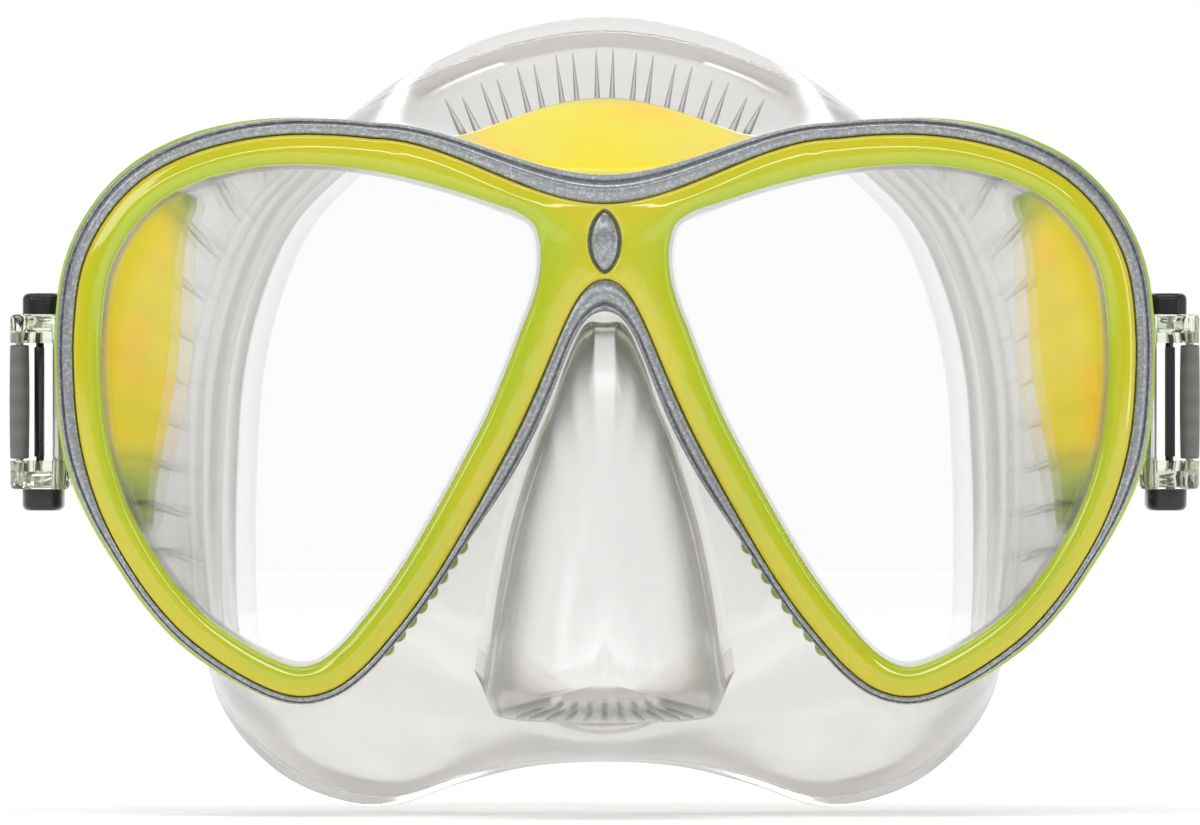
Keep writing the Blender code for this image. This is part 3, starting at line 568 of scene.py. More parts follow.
def applied(obj):
    """The piece with its modifiers made part of its mesh."""
    graph = bpy.context.evaluated_depsgraph_get()
    obj.data = bpy.data.meshes.new_from_object(obj.evaluated_get(graph), depsgraph=graph)
    obj.modifiers.clear()
    return obj


def carve(obj, operation, bm):
    """Joins or cuts a mesh given in place."""
    mesh = bpy.data.meshes.new("tool")
    bm.to_mesh(mesh)
    bm.free()
    tool = bpy.data.objects.new("tool", mesh)
    bpy.context.scene.collection.objects.link(tool)
    modifier = obj.modifiers.new("carve", "BOOLEAN")
    modifier.operation = operation
    modifier.solver = "MANIFOLD"
    modifier.object = tool
    applied(obj)
    bpy.data.objects.remove(tool)
    return obj


def softened(obj, width, segments=3, angle=35):
    """The piece with its sharp edges rounded."""
    bevel = obj.modifiers.new("edge", "BEVEL")
    bevel.width = width
    bevel.segments = segments
    bevel.limit_method = "ANGLE"
    bevel.angle_limit = math.radians(angle)
    bevel.harden_normals = True
    return applied(obj)


def other_side(obj, name):
    """A mirrored copy of a piece, for the other side of the mask."""
    bm = bmesh.new()
    bm.from_mesh(obj.data)
    bmesh.ops.scale(bm, vec=(-1, 1, 1), verts=bm.verts)
    bmesh.ops.reverse_faces(bm, faces=bm.faces)
    return new_piece(name, bm, obj.data.materials[0])


def turned_rings(x, y, levels, sides):
    """Rings about the upright axis at (x, y), from a list of (radius, height)."""
    angles = [2 * math.pi * i / sides for i in range(sides)]
    return [[(x + r * math.cos(a), y + r * math.sin(a), z) for a in angles] for r, z in levels]


def rod(x, y, radius, bottom, top, sides=32, edge=0.0):
    """An upright round bar, with rounded ends where edge is given."""
    turns = [math.radians(a) for a in ((0, 30, 60, 90) if edge else (0,))]
    ends = [(radius - edge * (1 - math.sin(t)), edge * (1 - math.cos(t))) for t in turns]
    levels = [(r, bottom + up) for r, up in ends] + [(r, top - up) for r, up in reversed(ends)]
    bm = bmesh.new()
    add_loops(bm, turned_rings(x, y, levels, sides), True, True)
    return tidied(bm)


def prism(loop, bottom, top):
    """An upright solid over a plan outline of (x, y)."""
    bm = bmesh.new()
    add_loops(bm, [[(x, y, z) for x, y in loop] for z in (bottom, top)], True, True)
    return tidied(bm)


def block(low, high, half):
    """A box between two corners (x, y), reaching half up and half down."""
    return prism((low, (high[0], low[1]), high, (low[0], high[1])), -half, half)


def rounded_plan(low, high, radius, steps=6):
    """A rectangle's plan outline with round corners."""
    loop = []
    for cx, cy, turn in ((high[0] - radius, high[1] - radius, 0), (low[0] + radius, high[1] - radius, 90),
                         (low[0] + radius, low[1] + radius, 180), (high[0] - radius, low[1] + radius, 270)):
        for k in range(steps + 1):
            a = math.radians(turn + 90 * k / steps)
            loop.append((cx + radius * math.cos(a), cy + radius * math.sin(a)))
    return loop


# ---- geometry nodes ----

def add_node(tree, kind, inputs=None, **settings):
    """A node with its settings. Each input gets a value, a socket's link, or another node's first output."""
    node = tree.nodes.new(kind)
    for name, value in settings.items():
        setattr(node, name, value)
    for name, value in (inputs or {}).items():
        if isinstance(value, bpy.types.Node):
            value = value.outputs[0]
        if isinstance(value, bpy.types.NodeSocket):
            tree.links.new(value, node.inputs[name])
        else:
            node.inputs[name].default_value = value
    return node


def spread(value, low, high, to_low=0.0, to_high=1.0):
    """The inputs that carry a value from one range to another."""
    return {"Value": value, "From Min": low, "From Max": high, "To Min": to_low, "To Max": to_high}


def node_tree(name, sizes):
    """A Geometry Nodes tree with a named input for each size and one for the material, and those inputs."""
    tree = bpy.data.node_groups.new(name, "GeometryNodeTree")
    tree.interface.new_socket("Geometry", in_out="INPUT", socket_type="NodeSocketGeometry")
    for label, default in sizes.items():
        socket = tree.interface.new_socket(label, in_out="INPUT", socket_type="NodeSocketFloat")
        socket.default_value = default
    tree.interface.new_socket("Material", in_out="INPUT", socket_type="NodeSocketMaterial")
    tree.interface.new_socket("Geometry", in_out="OUTPUT", socket_type="NodeSocketGeometry")
    return tree, add_node(tree, "NodeGroupInput").outputs


def finish_tree(tree, given, geometry):
    """Ends a tree in smooth shading, real geometry and its material."""
    smooth = add_node(tree, "GeometryNodeSetShadeSmooth", {"Geometry": geometry})
    real = add_node(tree, "GeometryNodeRealizeInstances", {"Geometry": smooth})
    painted = add_node(tree, "GeometryNodeSetMaterial", {"Geometry": real, "Material": given["Material"]})
    add_node(tree, "NodeGroupOutput", {"Geometry": painted})
    return tree


def rib_tree():
    """Round ribs along every path of the input mesh, swelling over their foot and tapering over their tip."""
    tree, given = node_tree("ribs_along_paths", {"Radius": 0.4 * MM, "Foot": 0.2, "Tip": 0.2})
    curve = add_node(tree, "GeometryNodeMeshToCurve", {"Mesh": given["Geometry"]})
    place = add_node(tree, "GeometryNodeSplineParameter").outputs["Factor"]
    left = add_node(tree, MATHS, {0: 1.0, 1: place}, operation="SUBTRACT")
    foot = add_node(tree, MATHS, {0: place, 1: given["Foot"]}, operation="DIVIDE")
    tip = add_node(tree, MATHS, {0: left, 1: given["Tip"]}, operation="DIVIDE")
    least = add_node(tree, MATHS, {0: foot, 1: tip}, operation="MINIMUM")
    taper = add_node(tree, RANGE, spread(least, 0.0, 1.0, 0.12, 1.0))
    profile = add_node(tree, CIRCLE, {"Resolution": 8, "Radius": given["Radius"]})
    solid = add_node(tree, TUBE, {
        "Curve": curve, "Profile Curve": profile, "Fill Caps": True, "Scale": taper})
    return finish_tree(tree, given, solid)


def serration_tree():
    """Round teeth, standing along Y, spaced along every path of the input mesh."""
    tree, given = node_tree("serrations_along_paths", {
        "Pitch": 2.6 * MM, "Radius": 1.3 * MM, "Depth": 3 * MM})
    curve = add_node(tree, "GeometryNodeMeshToCurve", {"Mesh": given["Geometry"]})
    spaced = add_node(tree, "GeometryNodeCurveToPoints", {
        "Curve": curve, "Length": given["Pitch"]}, mode="LENGTH")
    tooth = add_node(tree, "GeometryNodeMeshCylinder", {
        "Vertices": 20, "Radius": given["Radius"], "Depth": given["Depth"]})
    stood = add_node(tree, "GeometryNodeInstanceOnPoints", {
        "Points": spaced, "Instance": tooth, "Rotation": (math.pi / 2, 0, 0)})
    return finish_tree(tree, given, stood)


def coil_tree():
    """One compression spring, standing on the origin."""
    tree, given = node_tree("coil_spring", {
        "Turns": 5.0, "Coil radius": 1.1 * MM, "Wire radius": 0.2 * MM, "Height": 3.5 * MM})
    helix = add_node(tree, "GeometryNodeCurveSpiral", {
        "Resolution": 24, "Rotations": given["Turns"], "Start Radius": given["Coil radius"],
        "End Radius": given["Coil radius"], "Height": given["Height"]})
    profile = add_node(tree, CIRCLE, {"Resolution": 8, "Radius": given["Wire radius"]})
    wire = add_node(tree, TUBE, {"Curve": helix, "Profile Curve": profile, "Fill Caps": True})
    return finish_tree(tree, given, wire)


def paths_object(name, paths):
    """An object holding only lines, one for each path."""
    mesh = bpy.data.meshes.new(name)
    points, edges = [], []
    for path in paths:
        edges += [(len(points) + i, len(points) + i + 1) for i in range(len(path) - 1)]
        points += [tuple(p) for p in path]
    mesh.from_pydata(points, edges, [])
    obj = bpy.data.objects.new(name, mesh)
    bpy.context.scene.collection.objects.link(obj)
    return obj


def grown(obj, tree, values):
    """Runs a tree on the object and leaves a plain mesh."""
    modifier = obj.modifiers.new("nodes", "NODES")
    modifier.node_group = tree
    for item in tree.interface.items_tree:
        if item.in_out == "INPUT" and item.name in values:
            modifier[item.identifier] = values[item.name]
    applied(obj)
    bm = bmesh.new()
    bm.from_mesh(obj.data)
    tidied(bm, 1e-7)
    bm.to_mesh(obj.data)
    bm.free()
    return obj


# ---- materials ----

def new_material(name):
    material = bpy.data.materials.new(name)
    material.use_nodes = True
    material.node_tree.nodes.clear()
    return material, material.node_tree


def surfaced(material, bump=None, **sockets):
    """Ends a material in one Principled shader. A bump is its height pattern, its depth and its strength."""
    tree = material.node_tree
    inputs = {name.replace("_", " "): value for name, value in sockets.items()}
    if bump:
        height, depth, strength = bump
        inputs["Normal"] = add_node(tree, "ShaderNodeBump", {
            "Height": height, "Distance": depth, "Strength": strength})
    shader = add_node(tree, "ShaderNodeBsdfPrincipled", inputs)
    add_node(tree, "ShaderNodeOutputMaterial", {"Surface": shader})
    return material


def rgba(colour):
    return (*colour[:3], 1.0)


def per_mm(period):
    """The scale of a pattern whose period is given in millimetres."""
    return 1000 / period


def noise(tree, period, detail=2.0, stretch=(1, 1, 1)):
    """Noise over the piece's own coordinates, with its period in millimetres."""
    place = add_node(tree, "ShaderNodeTexCoord").outputs["Object"]
    turned = add_node(tree, "ShaderNodeMapping", {"Vector": place, "Scale": stretch})
    return add_node(tree, "ShaderNodeTexNoise", {"Vector": turned, "Scale": per_mm(period), "Detail": detail})


def moulded_polycarbonate(name, warm, lime):
    """Injection-moulded tinted polycarbonate: a deep gloss over a slightly uneven colour. Where its two
    colours differ, the lime inner slope and warm outer slope are painted light, standing in for how light
    passes through each side of the bezel's crest.
    """
    material, tree = new_material(name)
    # The share across the band paints the light of the bezel's two slopes: lime inside, warm yellow outside.
    slope = add_node(tree, "ShaderNodeAttribute", attribute_name="slope").outputs["Fac"]
    drift = add_node(tree, RANGE, spread(noise(tree, 22.0, 1.0), 0.3, 0.7, -0.2, 0.2))
    share = add_node(tree, MATHS, {0: slope, 1: drift}, operation="ADD")
    share = add_node(tree, RANGE, spread(share, 0.15, 0.85))
    colour = add_node(tree, MIX, {0: share, 6: rgba(lime), 7: rgba(warm)}, data_type="RGBA").outputs[2]
    ripple = noise(tree, 5.0, 1.0)
    return surfaced(material, (ripple, 0.02 * MM, 0.08), Base_Color=colour, Roughness=0.07, IOR=1.585,
                    Coat_Weight=0.35, Coat_Roughness=0.03, Subsurface_Weight=0.12, Subsurface_Scale=0.002)


def metallic_paint(name, silver):
    """Silver lacquer sprayed on plastic: fine flakes under a clear coat, the lighter ones painted glints. The
    flakes are drawn at 0.3 mm, coarser than real ones, so that they show."""
    material, tree = new_material(name)
    place = add_node(tree, "ShaderNodeTexCoord").outputs["Object"]
    flakes = add_node(tree, "ShaderNodeTexVoronoi", {"Vector": place, "Scale": per_mm(0.3)}).outputs["Color"]
    grey = add_node(tree, "ShaderNodeSeparateColor", {"Color": flakes}).outputs
    # Painted glint: some flakes are mixed towards near-white, standing in for light sparkling on them.
    glint = add_node(tree, RANGE, spread(grey[0], 0.55, 1.0, 0.0, 0.4))
    glinting = {0: glint, 6: rgba(silver), 7: rgba(linear("E7EAEC"))}
    colour = add_node(tree, MIX, glinting, data_type="RGBA").outputs[2]
    sheen = add_node(tree, RANGE, spread(grey[1], 0.0, 1.0, 0.28, 0.36))
    return surfaced(material, (grey[2], 0.01 * MM, 0.3), Base_Color=colour, Roughness=sheen, Metallic=0.8,
                    Coat_Weight=0.5, Coat_Roughness=0.12)


def clear_silicone(name, colour):
    """Clear liquid silicone rubber, moulded in a satin tool: see-through, softly blurred, faintly milky."""
    material, tree = new_material(name)
    cloud = add_node(tree, RANGE, spread(noise(tree, 9.0, 2.0), 0.3, 0.7, 0.12, 0.22))
    satin = noise(tree, 0.8, 1.0)
    return surfaced(material, (satin, 0.02 * MM, 0.3), Base_Color=rgba(colour), Roughness=cloud, IOR=1.41,
                    Transmission_Weight=0.88)


def yellow_silicone(name, yellow, orange, edge):
    """Silicone with a yellow dye: orange-yellow in its thick, thinning to a clear, pale lime edge. Its thick
    carries a painted glow, a little light of its own colour given off, so that it looks lit from within."""
    material, tree = new_material(name)
    depth = add_node(tree, "ShaderNodeAttribute", attribute_name="slope").outputs["Fac"]
    drift = add_node(tree, RANGE, spread(noise(tree, 14.0, 2.0), 0.48, 0.72))
    core = add_node(tree, MIX, {0: drift, 6: rgba(yellow), 7: rgba(orange)}, data_type="RGBA").outputs[2]
    inner = add_node(tree, RANGE, spread(depth, 0.1, 0.55))
    colour = add_node(tree, MIX, {0: inner, 6: rgba(edge), 7: core}, data_type="RGBA").outputs[2]
    clear = add_node(tree, RANGE, spread(depth, 0.05, 0.5, 0.95, 0.22))
    # Painted glow: the thick of the pad gives off light of its own colour, though it is no lamp.
    glow = add_node(tree, RANGE, spread(depth, 0.05, 0.5, 0.0, 0.22))
    satin = noise(tree, 1.2, 1.0)
    return surfaced(material, (satin, 0.03 * MM, 0.3), Base_Color=colour, Roughness=0.25, IOR=1.41,
                    Transmission_Weight=clear, Emission_Color=colour, Emission_Strength=glow)


def clear_polycarbonate(name, colour):
    """Clear moulded polycarbonate: water-clear with bright edges and the faintest flow ripple."""
    material, tree = new_material(name)
    flow = noise(tree, 6.0, 1.0)
    return surfaced(material, (flow, 0.03 * MM, 0.2), Base_Color=rgba(colour), Roughness=0.03, IOR=1.585,
                    Transmission_Weight=1.0)


def tempered_glass(name):
    """Polished float glass, tempered: clear, with a trace of green in its depth and a thin reflection."""
    material, tree = new_material(name)
    wave = noise(tree, 30.0, 1.0)
    return surfaced(material, (wave, 0.01 * MM, 0.05), Base_Color=rgba(linear("F8FCFA")), Roughness=0.0,
                    IOR=1.52, Transmission_Weight=1.0, Alpha=0.35)


def gloss_abs(name, colour):
    """Black ABS moulded in a polished tool: deep gloss, dulled a little by handling."""
    material, tree = new_material(name)
    handling = add_node(tree, RANGE, spread(noise(tree, 2.5, 3.0), 0.3, 0.7, 0.14, 0.3))
    grain = noise(tree, 0.5, 1.0)
    return surfaced(material, (grain, 0.01 * MM, 0.3), Base_Color=rgba(colour), Roughness=handling, IOR=1.54,
                    Specular_IOR_Level=0.5)


def turned_acetal(name, colour):
    """Dark grey acetal turned on a lathe: a satin sheen with fine rings round it."""
    material, tree = new_material(name)
    place = add_node(tree, "ShaderNodeTexCoord").outputs["Object"]
    rings = add_node(tree, "ShaderNodeTexWave", {
        "Vector": place, "Scale": per_mm(0.5) / 20, "Distortion": 0.4}, bands_direction="Z").outputs["Fac"]
    share = add_node(tree, RANGE, spread(rings, 0.0, 1.0, 0.0, 0.2))
    shades = {0: share, 6: rgba(colour), 7: rgba(linear("959393"))}
    shade = add_node(tree, MIX, shades, data_type="RGBA").outputs[2]
    return surfaced(material, (rings, 0.03 * MM, 0.4), Base_Color=shade, Roughness=0.36, IOR=1.48)


def drawn_steel(name, colour):
    """Stainless wire and rod, drawn and polished: bright, with fine lines along its length."""
    material, tree = new_material(name)
    lines = add_node(tree, RANGE, spread(noise(tree, 0.25, 1.0, (1, 1, 0.05)), 0.3, 0.7, 0.16, 0.34))
    return surfaced(material, Base_Color=rgba(colour), Roughness=lines, Metallic=1.0)


def matt_paper(name, colour):
    """Studio paper: matt, with hardly any grain. It glows a little more far away, beyond the lamps."""
    material, tree = new_material(name)
    fibre = add_node(tree, RANGE, spread(noise(tree, 60.0, 2.0), 0.0, 1.0, 0.0, 0.03))
    shades = {0: fibre, 6: rgba(colour), 7: rgba(linear("F3F3F3"))}
    shade = add_node(tree, MIX, shades, data_type="RGBA").outputs[2]
    place = add_node(tree, "ShaderNodeTexCoord").outputs["Object"]
    away = add_node(tree, "ShaderNodeVectorMath", {0: place}, operation="LENGTH").outputs["Value"]
    glow = add_node(tree, RANGE, spread(away, 0.2, 1.0, 0.3, 0.6))
    return surfaced(material, Base_Color=shade, Roughness=0.9, Specular_IOR_Level=0.1,
                    Emission_Color=(1, 1, 1, 1), Emission_Strength=glow)


def studio_air(name):
    """A white surround to the eye. Light reaches the pieces from white panels ahead, behind and on both
    sides, with dim corners between them, which draw the edges of clear pieces."""
    world = bpy.data.worlds.new(name)
    world.use_nodes = True
    tree = world.node_tree
    tree.nodes.clear()
    place = add_node(tree, "ShaderNodeTexCoord").outputs["Generated"]
    parts = add_node(tree, "ShaderNodeSeparateXYZ", {"Vector": place}).outputs
    corner = add_node(tree, MATHS, {0: parts["X"], 1: parts["Y"]}, operation="MULTIPLY")
    corner = add_node(tree, MATHS, {0: corner}, operation="ABSOLUTE")
    panel = add_node(tree, RANGE, spread(corner, 0.12, 0.42, 1.0, 0.35))
    ahead = add_node(tree, RANGE, spread(parts["Y"], -0.9, -0.3, 0.5, 1.0))
    ceiling = add_node(tree, RANGE, spread(parts["Z"], 0.15, 0.6, 1.0, 0.55))
    lit = add_node(tree, MATHS, {0: panel, 1: ceiling}, operation="MULTIPLY")
    lit = add_node(tree, MATHS, {0: lit, 1: ahead}, operation="MULTIPLY")
    eye = add_node(tree, "ShaderNodeLightPath").outputs["Is Camera Ray"]
    seen = add_node(tree, MATHS, {0: lit, 1: eye}, operation="MAXIMUM")
    air = add_node(tree, "ShaderNodeBackground", {"Color": (1, 1, 1, 1), "Strength": seen})
    add_node(tree, "ShaderNodeOutputWorld", {"Surface": air})
    return world


def finish(kind, *colours):
    """A material shared by all pieces that ask for the same kind and colours."""
    key = (kind.__name__, *(tuple(c) for c in colours))
    if key not in SHARED:
        SHARED[key] = kind(kind.__name__, *colours)
    return SHARED[key]


# ---- places and sizes that several pieces share ----

def centre(node):
    low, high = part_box(node)
    return (low + high) / 2


LENS_EDGE = lens_outline()
SUBFRAME_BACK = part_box("rear_subframe")[0].y + 4.0 * MM
FRAME_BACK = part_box("rear_subframe")[0].y - 0.3 * MM
FLANGE_FRONT = FRAME_BACK - 1.8 * MM
BEZEL_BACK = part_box("front_bezel")[0].y + 2.7 * MM
FRAME_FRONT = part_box("front_bezel")[0].y + 0.8 * MM
LOCK_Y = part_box("strap_lock_right")[1].y - 0.65 * MM
CAM_X = centre("strap_lock_right").x + 1.75 * MM
CAM_Y = LOCK_Y - 1.3 * MM
BUTTON_BOTTOM = 12.6 * MM
POCKET_FLOOR = 10.3 * MM
KNUCKLE_RADIUS = 2.0 * MM
KNUCKLE_HALF = 8.2 * MM
KNUCKLE_ARM = 3.6 * MM
KNUCKLE_CLEARANCE = 2.6 * MM
PIN_HOLE = 0.9 * MM
ROD_HOLE = 0.7 * MM
CLEARANCE = 0.3 * MM  # round moving pieces


# ---- operators ----

class SNORKEL_OT_bezel(bpy.types.Operator):
    """The yellow bezel: a crested band round each lens, joined over the bridge"""
    bl_idname = "snorkel.bezel"
    bl_label = "Front bezel"

    def execute(self, context):
        s = context.scene.mask_front
        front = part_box("front_bezel")[0].y
        outline, openings = bezel_outline(), windows()
        r = s.bezel_edge
        lines = [offset(outline, -r * t) for t in EDGE_STEPS[1:]]
        lines += [offset(outline, -t * MM) for t in (1.0, 1.4, 1.8)]
        for t in (0.04, 0.15, 0.3, 0.5, 0.75, 1.05, 1.4, 1.75):
            lines += windows(t * MM)
        lines += [badge(-0.05 * MM), badge(-0.2 * MM), badge(-0.5 * MM)]

        def height(flat):
            to_edge = distance(flat, outline)
            to_lens = np.minimum(distance(flat, openings[0]), distance(flat, openings[1]))
            share = to_lens / np.maximum(to_edge + to_lens, 1e-9)
            crest = 1 - np.sqrt(((share - 0.46) / 0.5) ** 2 + 0.012)
            band = smooth_step((12 * MM - to_edge - to_lens) / (7 * MM))
            rise = s.bezel_crest * np.clip(crest, 0, 1) * band + 0.5 * s.bezel_crest * (1 - band)
            to_badge = distance(flat, badge())
            return (front + s.bezel_crest - rise + rounded(to_edge, r) + rounded(to_lens, 1.5 * r)
                    + rounded(to_badge, 0.45 * MM))

        bm = relief(outline, [*openings, badge()], lines, height, BEZEL_BACK, 0.2 * MM, 1.3 * MM)
        colours = context.scene.mask_colours
        yellow = finish(moulded_polycarbonate, colours.bezel_warm, colours.bezel_lime)
        obj = new_piece("bezel_moulding", bm, yellow, 50)
        # The share across the band, from the lens to the outer edge, by which the material paints the light
        # of each slope.
        flat = mesh_points(obj.data)[:, [0, 2]]
        to_lens = np.minimum(distance(flat, openings[0]), distance(flat, openings[1]))
        to_edge = distance(flat, outline)
        store(obj.data, "slope", to_lens / np.maximum(to_edge + to_lens, 1e-9))
        settle(obj, "root", "bezel_yellow", "front_bezel")
        return {"FINISHED"}


class SNORKEL_OT_main_frame(bpy.types.Operator):
    """The silver frame: a beaded rim round the bezel, with the plain badge on its bridge"""
    bl_idname = "snorkel.main_frame"
    bl_label = "Main frame"

    def execute(self, context):
        s = context.scene.mask_front
        badge_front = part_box("main_frame")[0].y
        outline = rim_outline()
        seat = bezel_outline(0.08 * MM)
        step = bezel_outline(0.04 * MM)
        openings = windows(s.lens_overlap + s.gap)
        lines = [between(outline, seat, q) for q, _ in RIM_SECTION[1:]] + [step]
        island = [badge(s.gap), badge(s.gap + 0.05 * MM), badge(s.gap + 0.5 * MM)]
        lines += island
        sections = np.array(RIM_SECTION)

        def height(flat):
            to_edge, to_seat = distance(flat, outline), distance(flat, seat)
            width = to_edge + to_seat
            fall = np.interp(to_edge / np.maximum(width, 1e-9), sections[:, 0], sections[:, 1] * MM)
            rim = FRAME_FRONT + fall * np.clip(width / (4.4 * MM), 0.3, 1.0) ** 0.7
            inner = inside(flat, seat) | (to_seat < 1e-6)
            deep = inside(flat, step) | (distance(flat, step) < 1e-6)
            y = np.where(deep, BEZEL_BACK + s.gap, np.where(inner, FRAME_FRONT + 0.5 * MM, rim))
            to_island = distance(flat, island[1])
            raised = inside(flat, island[1]) | (to_island < 1e-6)
            return np.where(raised, badge_front + rounded(to_island, 0.4 * MM), y)

        bm = relief(outline, openings, lines, height, FRAME_BACK, 0.4 * MM, 2.0 * MM)
        obj = new_piece("painted_frame", bm, finish(metallic_paint, context.scene.mask_colours.silver), 50)
        settle(obj, "root", "frame_silver", "main_frame")
        return {"FINISHED"}


class SNORKEL_OT_rear_subframe(bpy.types.Operator):
    """The lime rear frame, its serrated nose sides and the knuckles that carry the buckles"""
    bl_idname = "snorkel.rear_subframe"
    bl_label = "Rear frame"

    def execute(self, context):
        s = context.scene.mask_front
        colours = context.scene.mask_colours
        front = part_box("rear_subframe")[0].y
        outline = rim_outline(subframe_width)
        openings = windows(context.scene.mask_skirt.cup + s.gap)
        edge = 0.6 * MM
        lines = [offset(outline, -edge * t) for t in EDGE_STEPS[1:]]

        def height(flat):
            return front + rounded(distance(flat, outline), edge)

        bm = relief(outline, openings, lines, height, SUBFRAME_BACK, edge, 4 * MM)
        lime = finish(moulded_polycarbonate, colours.lime, colours.lime)
        obj = new_piece("subframe_moulding", bm, lime, 50)
        for name, side in SIDES:
            low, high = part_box(f"swivel_pin_{name}")
            x, y = (low.x + high.x) / 2, (low.y + high.y) / 2
            half = KNUCKLE_HALF
            arm = block((x - side * KNUCKLE_RADIUS, y - KNUCKLE_ARM), (x + side * s.gap, y), half)
            carve(obj, "UNION", arm)
            carve(obj, "UNION", rod(x, y, KNUCKLE_RADIUS, -half, half, 40))
            carve(obj, "DIFFERENCE", rod(x, y, PIN_HOLE, -2 * half, 2 * half, 24))
        smoothed(obj.data)
        store(obj.data, "slope", np.full(len(obj.data.vertices), 0.5))
        settle(obj, "root", "subframe_lime", "rear_subframe")

        half = outline[:len(outline) // 2 + 1]
        lowest = half.index(min(half, key=lambda p: p[1]))
        flank = [p for p in half[lowest:] if -39 * MM < p[1] < -20 * MM]
        path = laid(offset(flank, -s.subframe_lip)[1:-1], (front + SUBFRAME_BACK) / 2)
        paths = [[(side * x, y, z) for x, y, z in path] for side in (1, -1)]
        teeth = grown(paths_object("subframe_serrations", paths), serration_tree(), {
            "Pitch": s.tooth_pitch, "Radius": s.tooth_radius, "Material": lime,
            "Depth": SUBFRAME_BACK - front - 0.4 * MM})
        store(teeth.data, "slope", np.full(len(teeth.data.vertices), 0.5))
        softened(teeth, 0.2 * MM, 2)
        settle(teeth, "root", "subframe_lime")
        return {"FINISHED"}


class SNORKEL_OT_lenses(bpy.types.Operator):
    """Tempered glass for both packed lenses"""
    bl_idname = "snorkel.lenses"
    bl_label = "Lenses"

    def execute(self, context):
        glass = finish(tempered_glass)
        for name, _ in SIDES:
            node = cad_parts[f"lens_{name}"]
            node.data.materials.clear()
            node.data.materials.append(glass)
        return {"FINISHED"}


def face_y(x):
    """The depth of the face's surface at a distance from the centre line."""
    s = skirt_sizes()
    return s.wrap * (x / s.half_width) ** 2


class SkirtRings:
    """The skirt's side wall as rings of points, all matched to the front outline."""

    def __init__(self):
        s = skirt_sizes()
        outline = skirt_front_outline()
        self.angles = np.radians(np.arange(0, 360, 1.5))
        self.front = [crossing(outline, a) for a in self.angles]
        seal = seal_outline()
        self.seal = [crossing(seal, a) for a in self.angles]
        self.sines = np.array([(math.sin(a), math.cos(a)) for a in self.angles])
        self.depth = s.depth
        self.soft = np.array(self.front)
        for _ in range(60):
            self.soft = (np.roll(self.soft, 1, axis=0) + self.soft * 2 + np.roll(self.soft, -1, axis=0)) / 4

    def base(self, depth):
        """The front outline, its corners melting away with depth."""
        share = smooth_step(depth / 0.35)
        return np.array(self.front) * (1 - share) + self.soft * share

    def ring(self, depth, inward=0.0, back=0.0):
        """Points at a depth from 0, the front wall, to 1, the seal."""
        front, seal = self.base(depth), np.array(self.seal)
        flat = front + (seal - front) * depth + self.sines * (1.1 * MM * math.sin(math.pi * depth) - inward)
        y = -self.depth + (face_y(seal[:, 0]) + self.depth) * depth + back
        return np.column_stack((flat[:, 0], y, flat[:, 1]))

    def at(self, angle, depth, inward=0.0):
        """One point of the wall at any angle."""
        front = np.array(crossing(list(self.base(depth)), angle))
        seal = np.array(crossing(self.seal, angle))
        x, z = front + (seal - front) * depth
        bulge = 1.1 * MM * math.sin(math.pi * depth) - inward
        y = -self.depth + (face_y(seal[0]) + self.depth) * depth
        return x + bulge * math.sin(angle), y, z + bulge * math.cos(angle)


def eased(rows):
    """Rings along a quadratic curve through three rings."""
    first, second, third = (np.array(row) for row in rows)
    return [first * (1 - t) ** 2 + second * 2 * t * (1 - t) + third * t * t
            for t in (0, 0.2, 0.4, 0.6, 0.8, 1.0)]


def ring3(loop, y):
    return np.array([(x, y, z) for x, z in loop])


def nose_rings(inward):
    """The nose pocket's rings, from its foot on the front wall to its tip, and then its foot alone. The foot
    stays inside the front wall's lower edge."""
    s = skirt_sizes()
    foot_y = -s.depth + inward
    height = s.nose_top - s.nose_bottom
    tip = np.array((0.0, s.nose_bottom + 0.1 * height))
    outline = np.array(nose_outline(-inward))
    rings = []
    for degrees in (84, 78, 72, 66, 60, 53, 46, 39, 32, 25, 18, 12, 6, 3, 1):
        a = math.radians(degrees)
        flat = tip + (outline - tip) * math.sin(a) ** 0.72
        share = np.clip((flat[:, 1] - s.nose_bottom) / height, 0, 1)
        reach = s.nose_reach * (1.0 - 0.46 * share ** 1.15 - 0.06 * (1 - np.clip(share / 0.12, 0, 1)))
        rings.append(np.column_stack((flat[:, 0], foot_y - reach * math.cos(a) ** 0.75, flat[:, 1])))
    fold = s.fold * 0.6
    foot = ring3(offset(nose_outline(-inward), fold if inward == 0 else fold * 0.6), foot_y)
    corner = ring3(nose_outline(-inward), foot_y)
    edge = np.array(sorted(p for p in skirt_front_outline() if p[1] < 0))
    foot[:, 2] = np.maximum(foot[:, 2], np.interp(foot[:, 0], edge[:, 0], edge[:, 1]) + inward)
    return eased((foot, corner, rings[0])) + rings[1:], foot


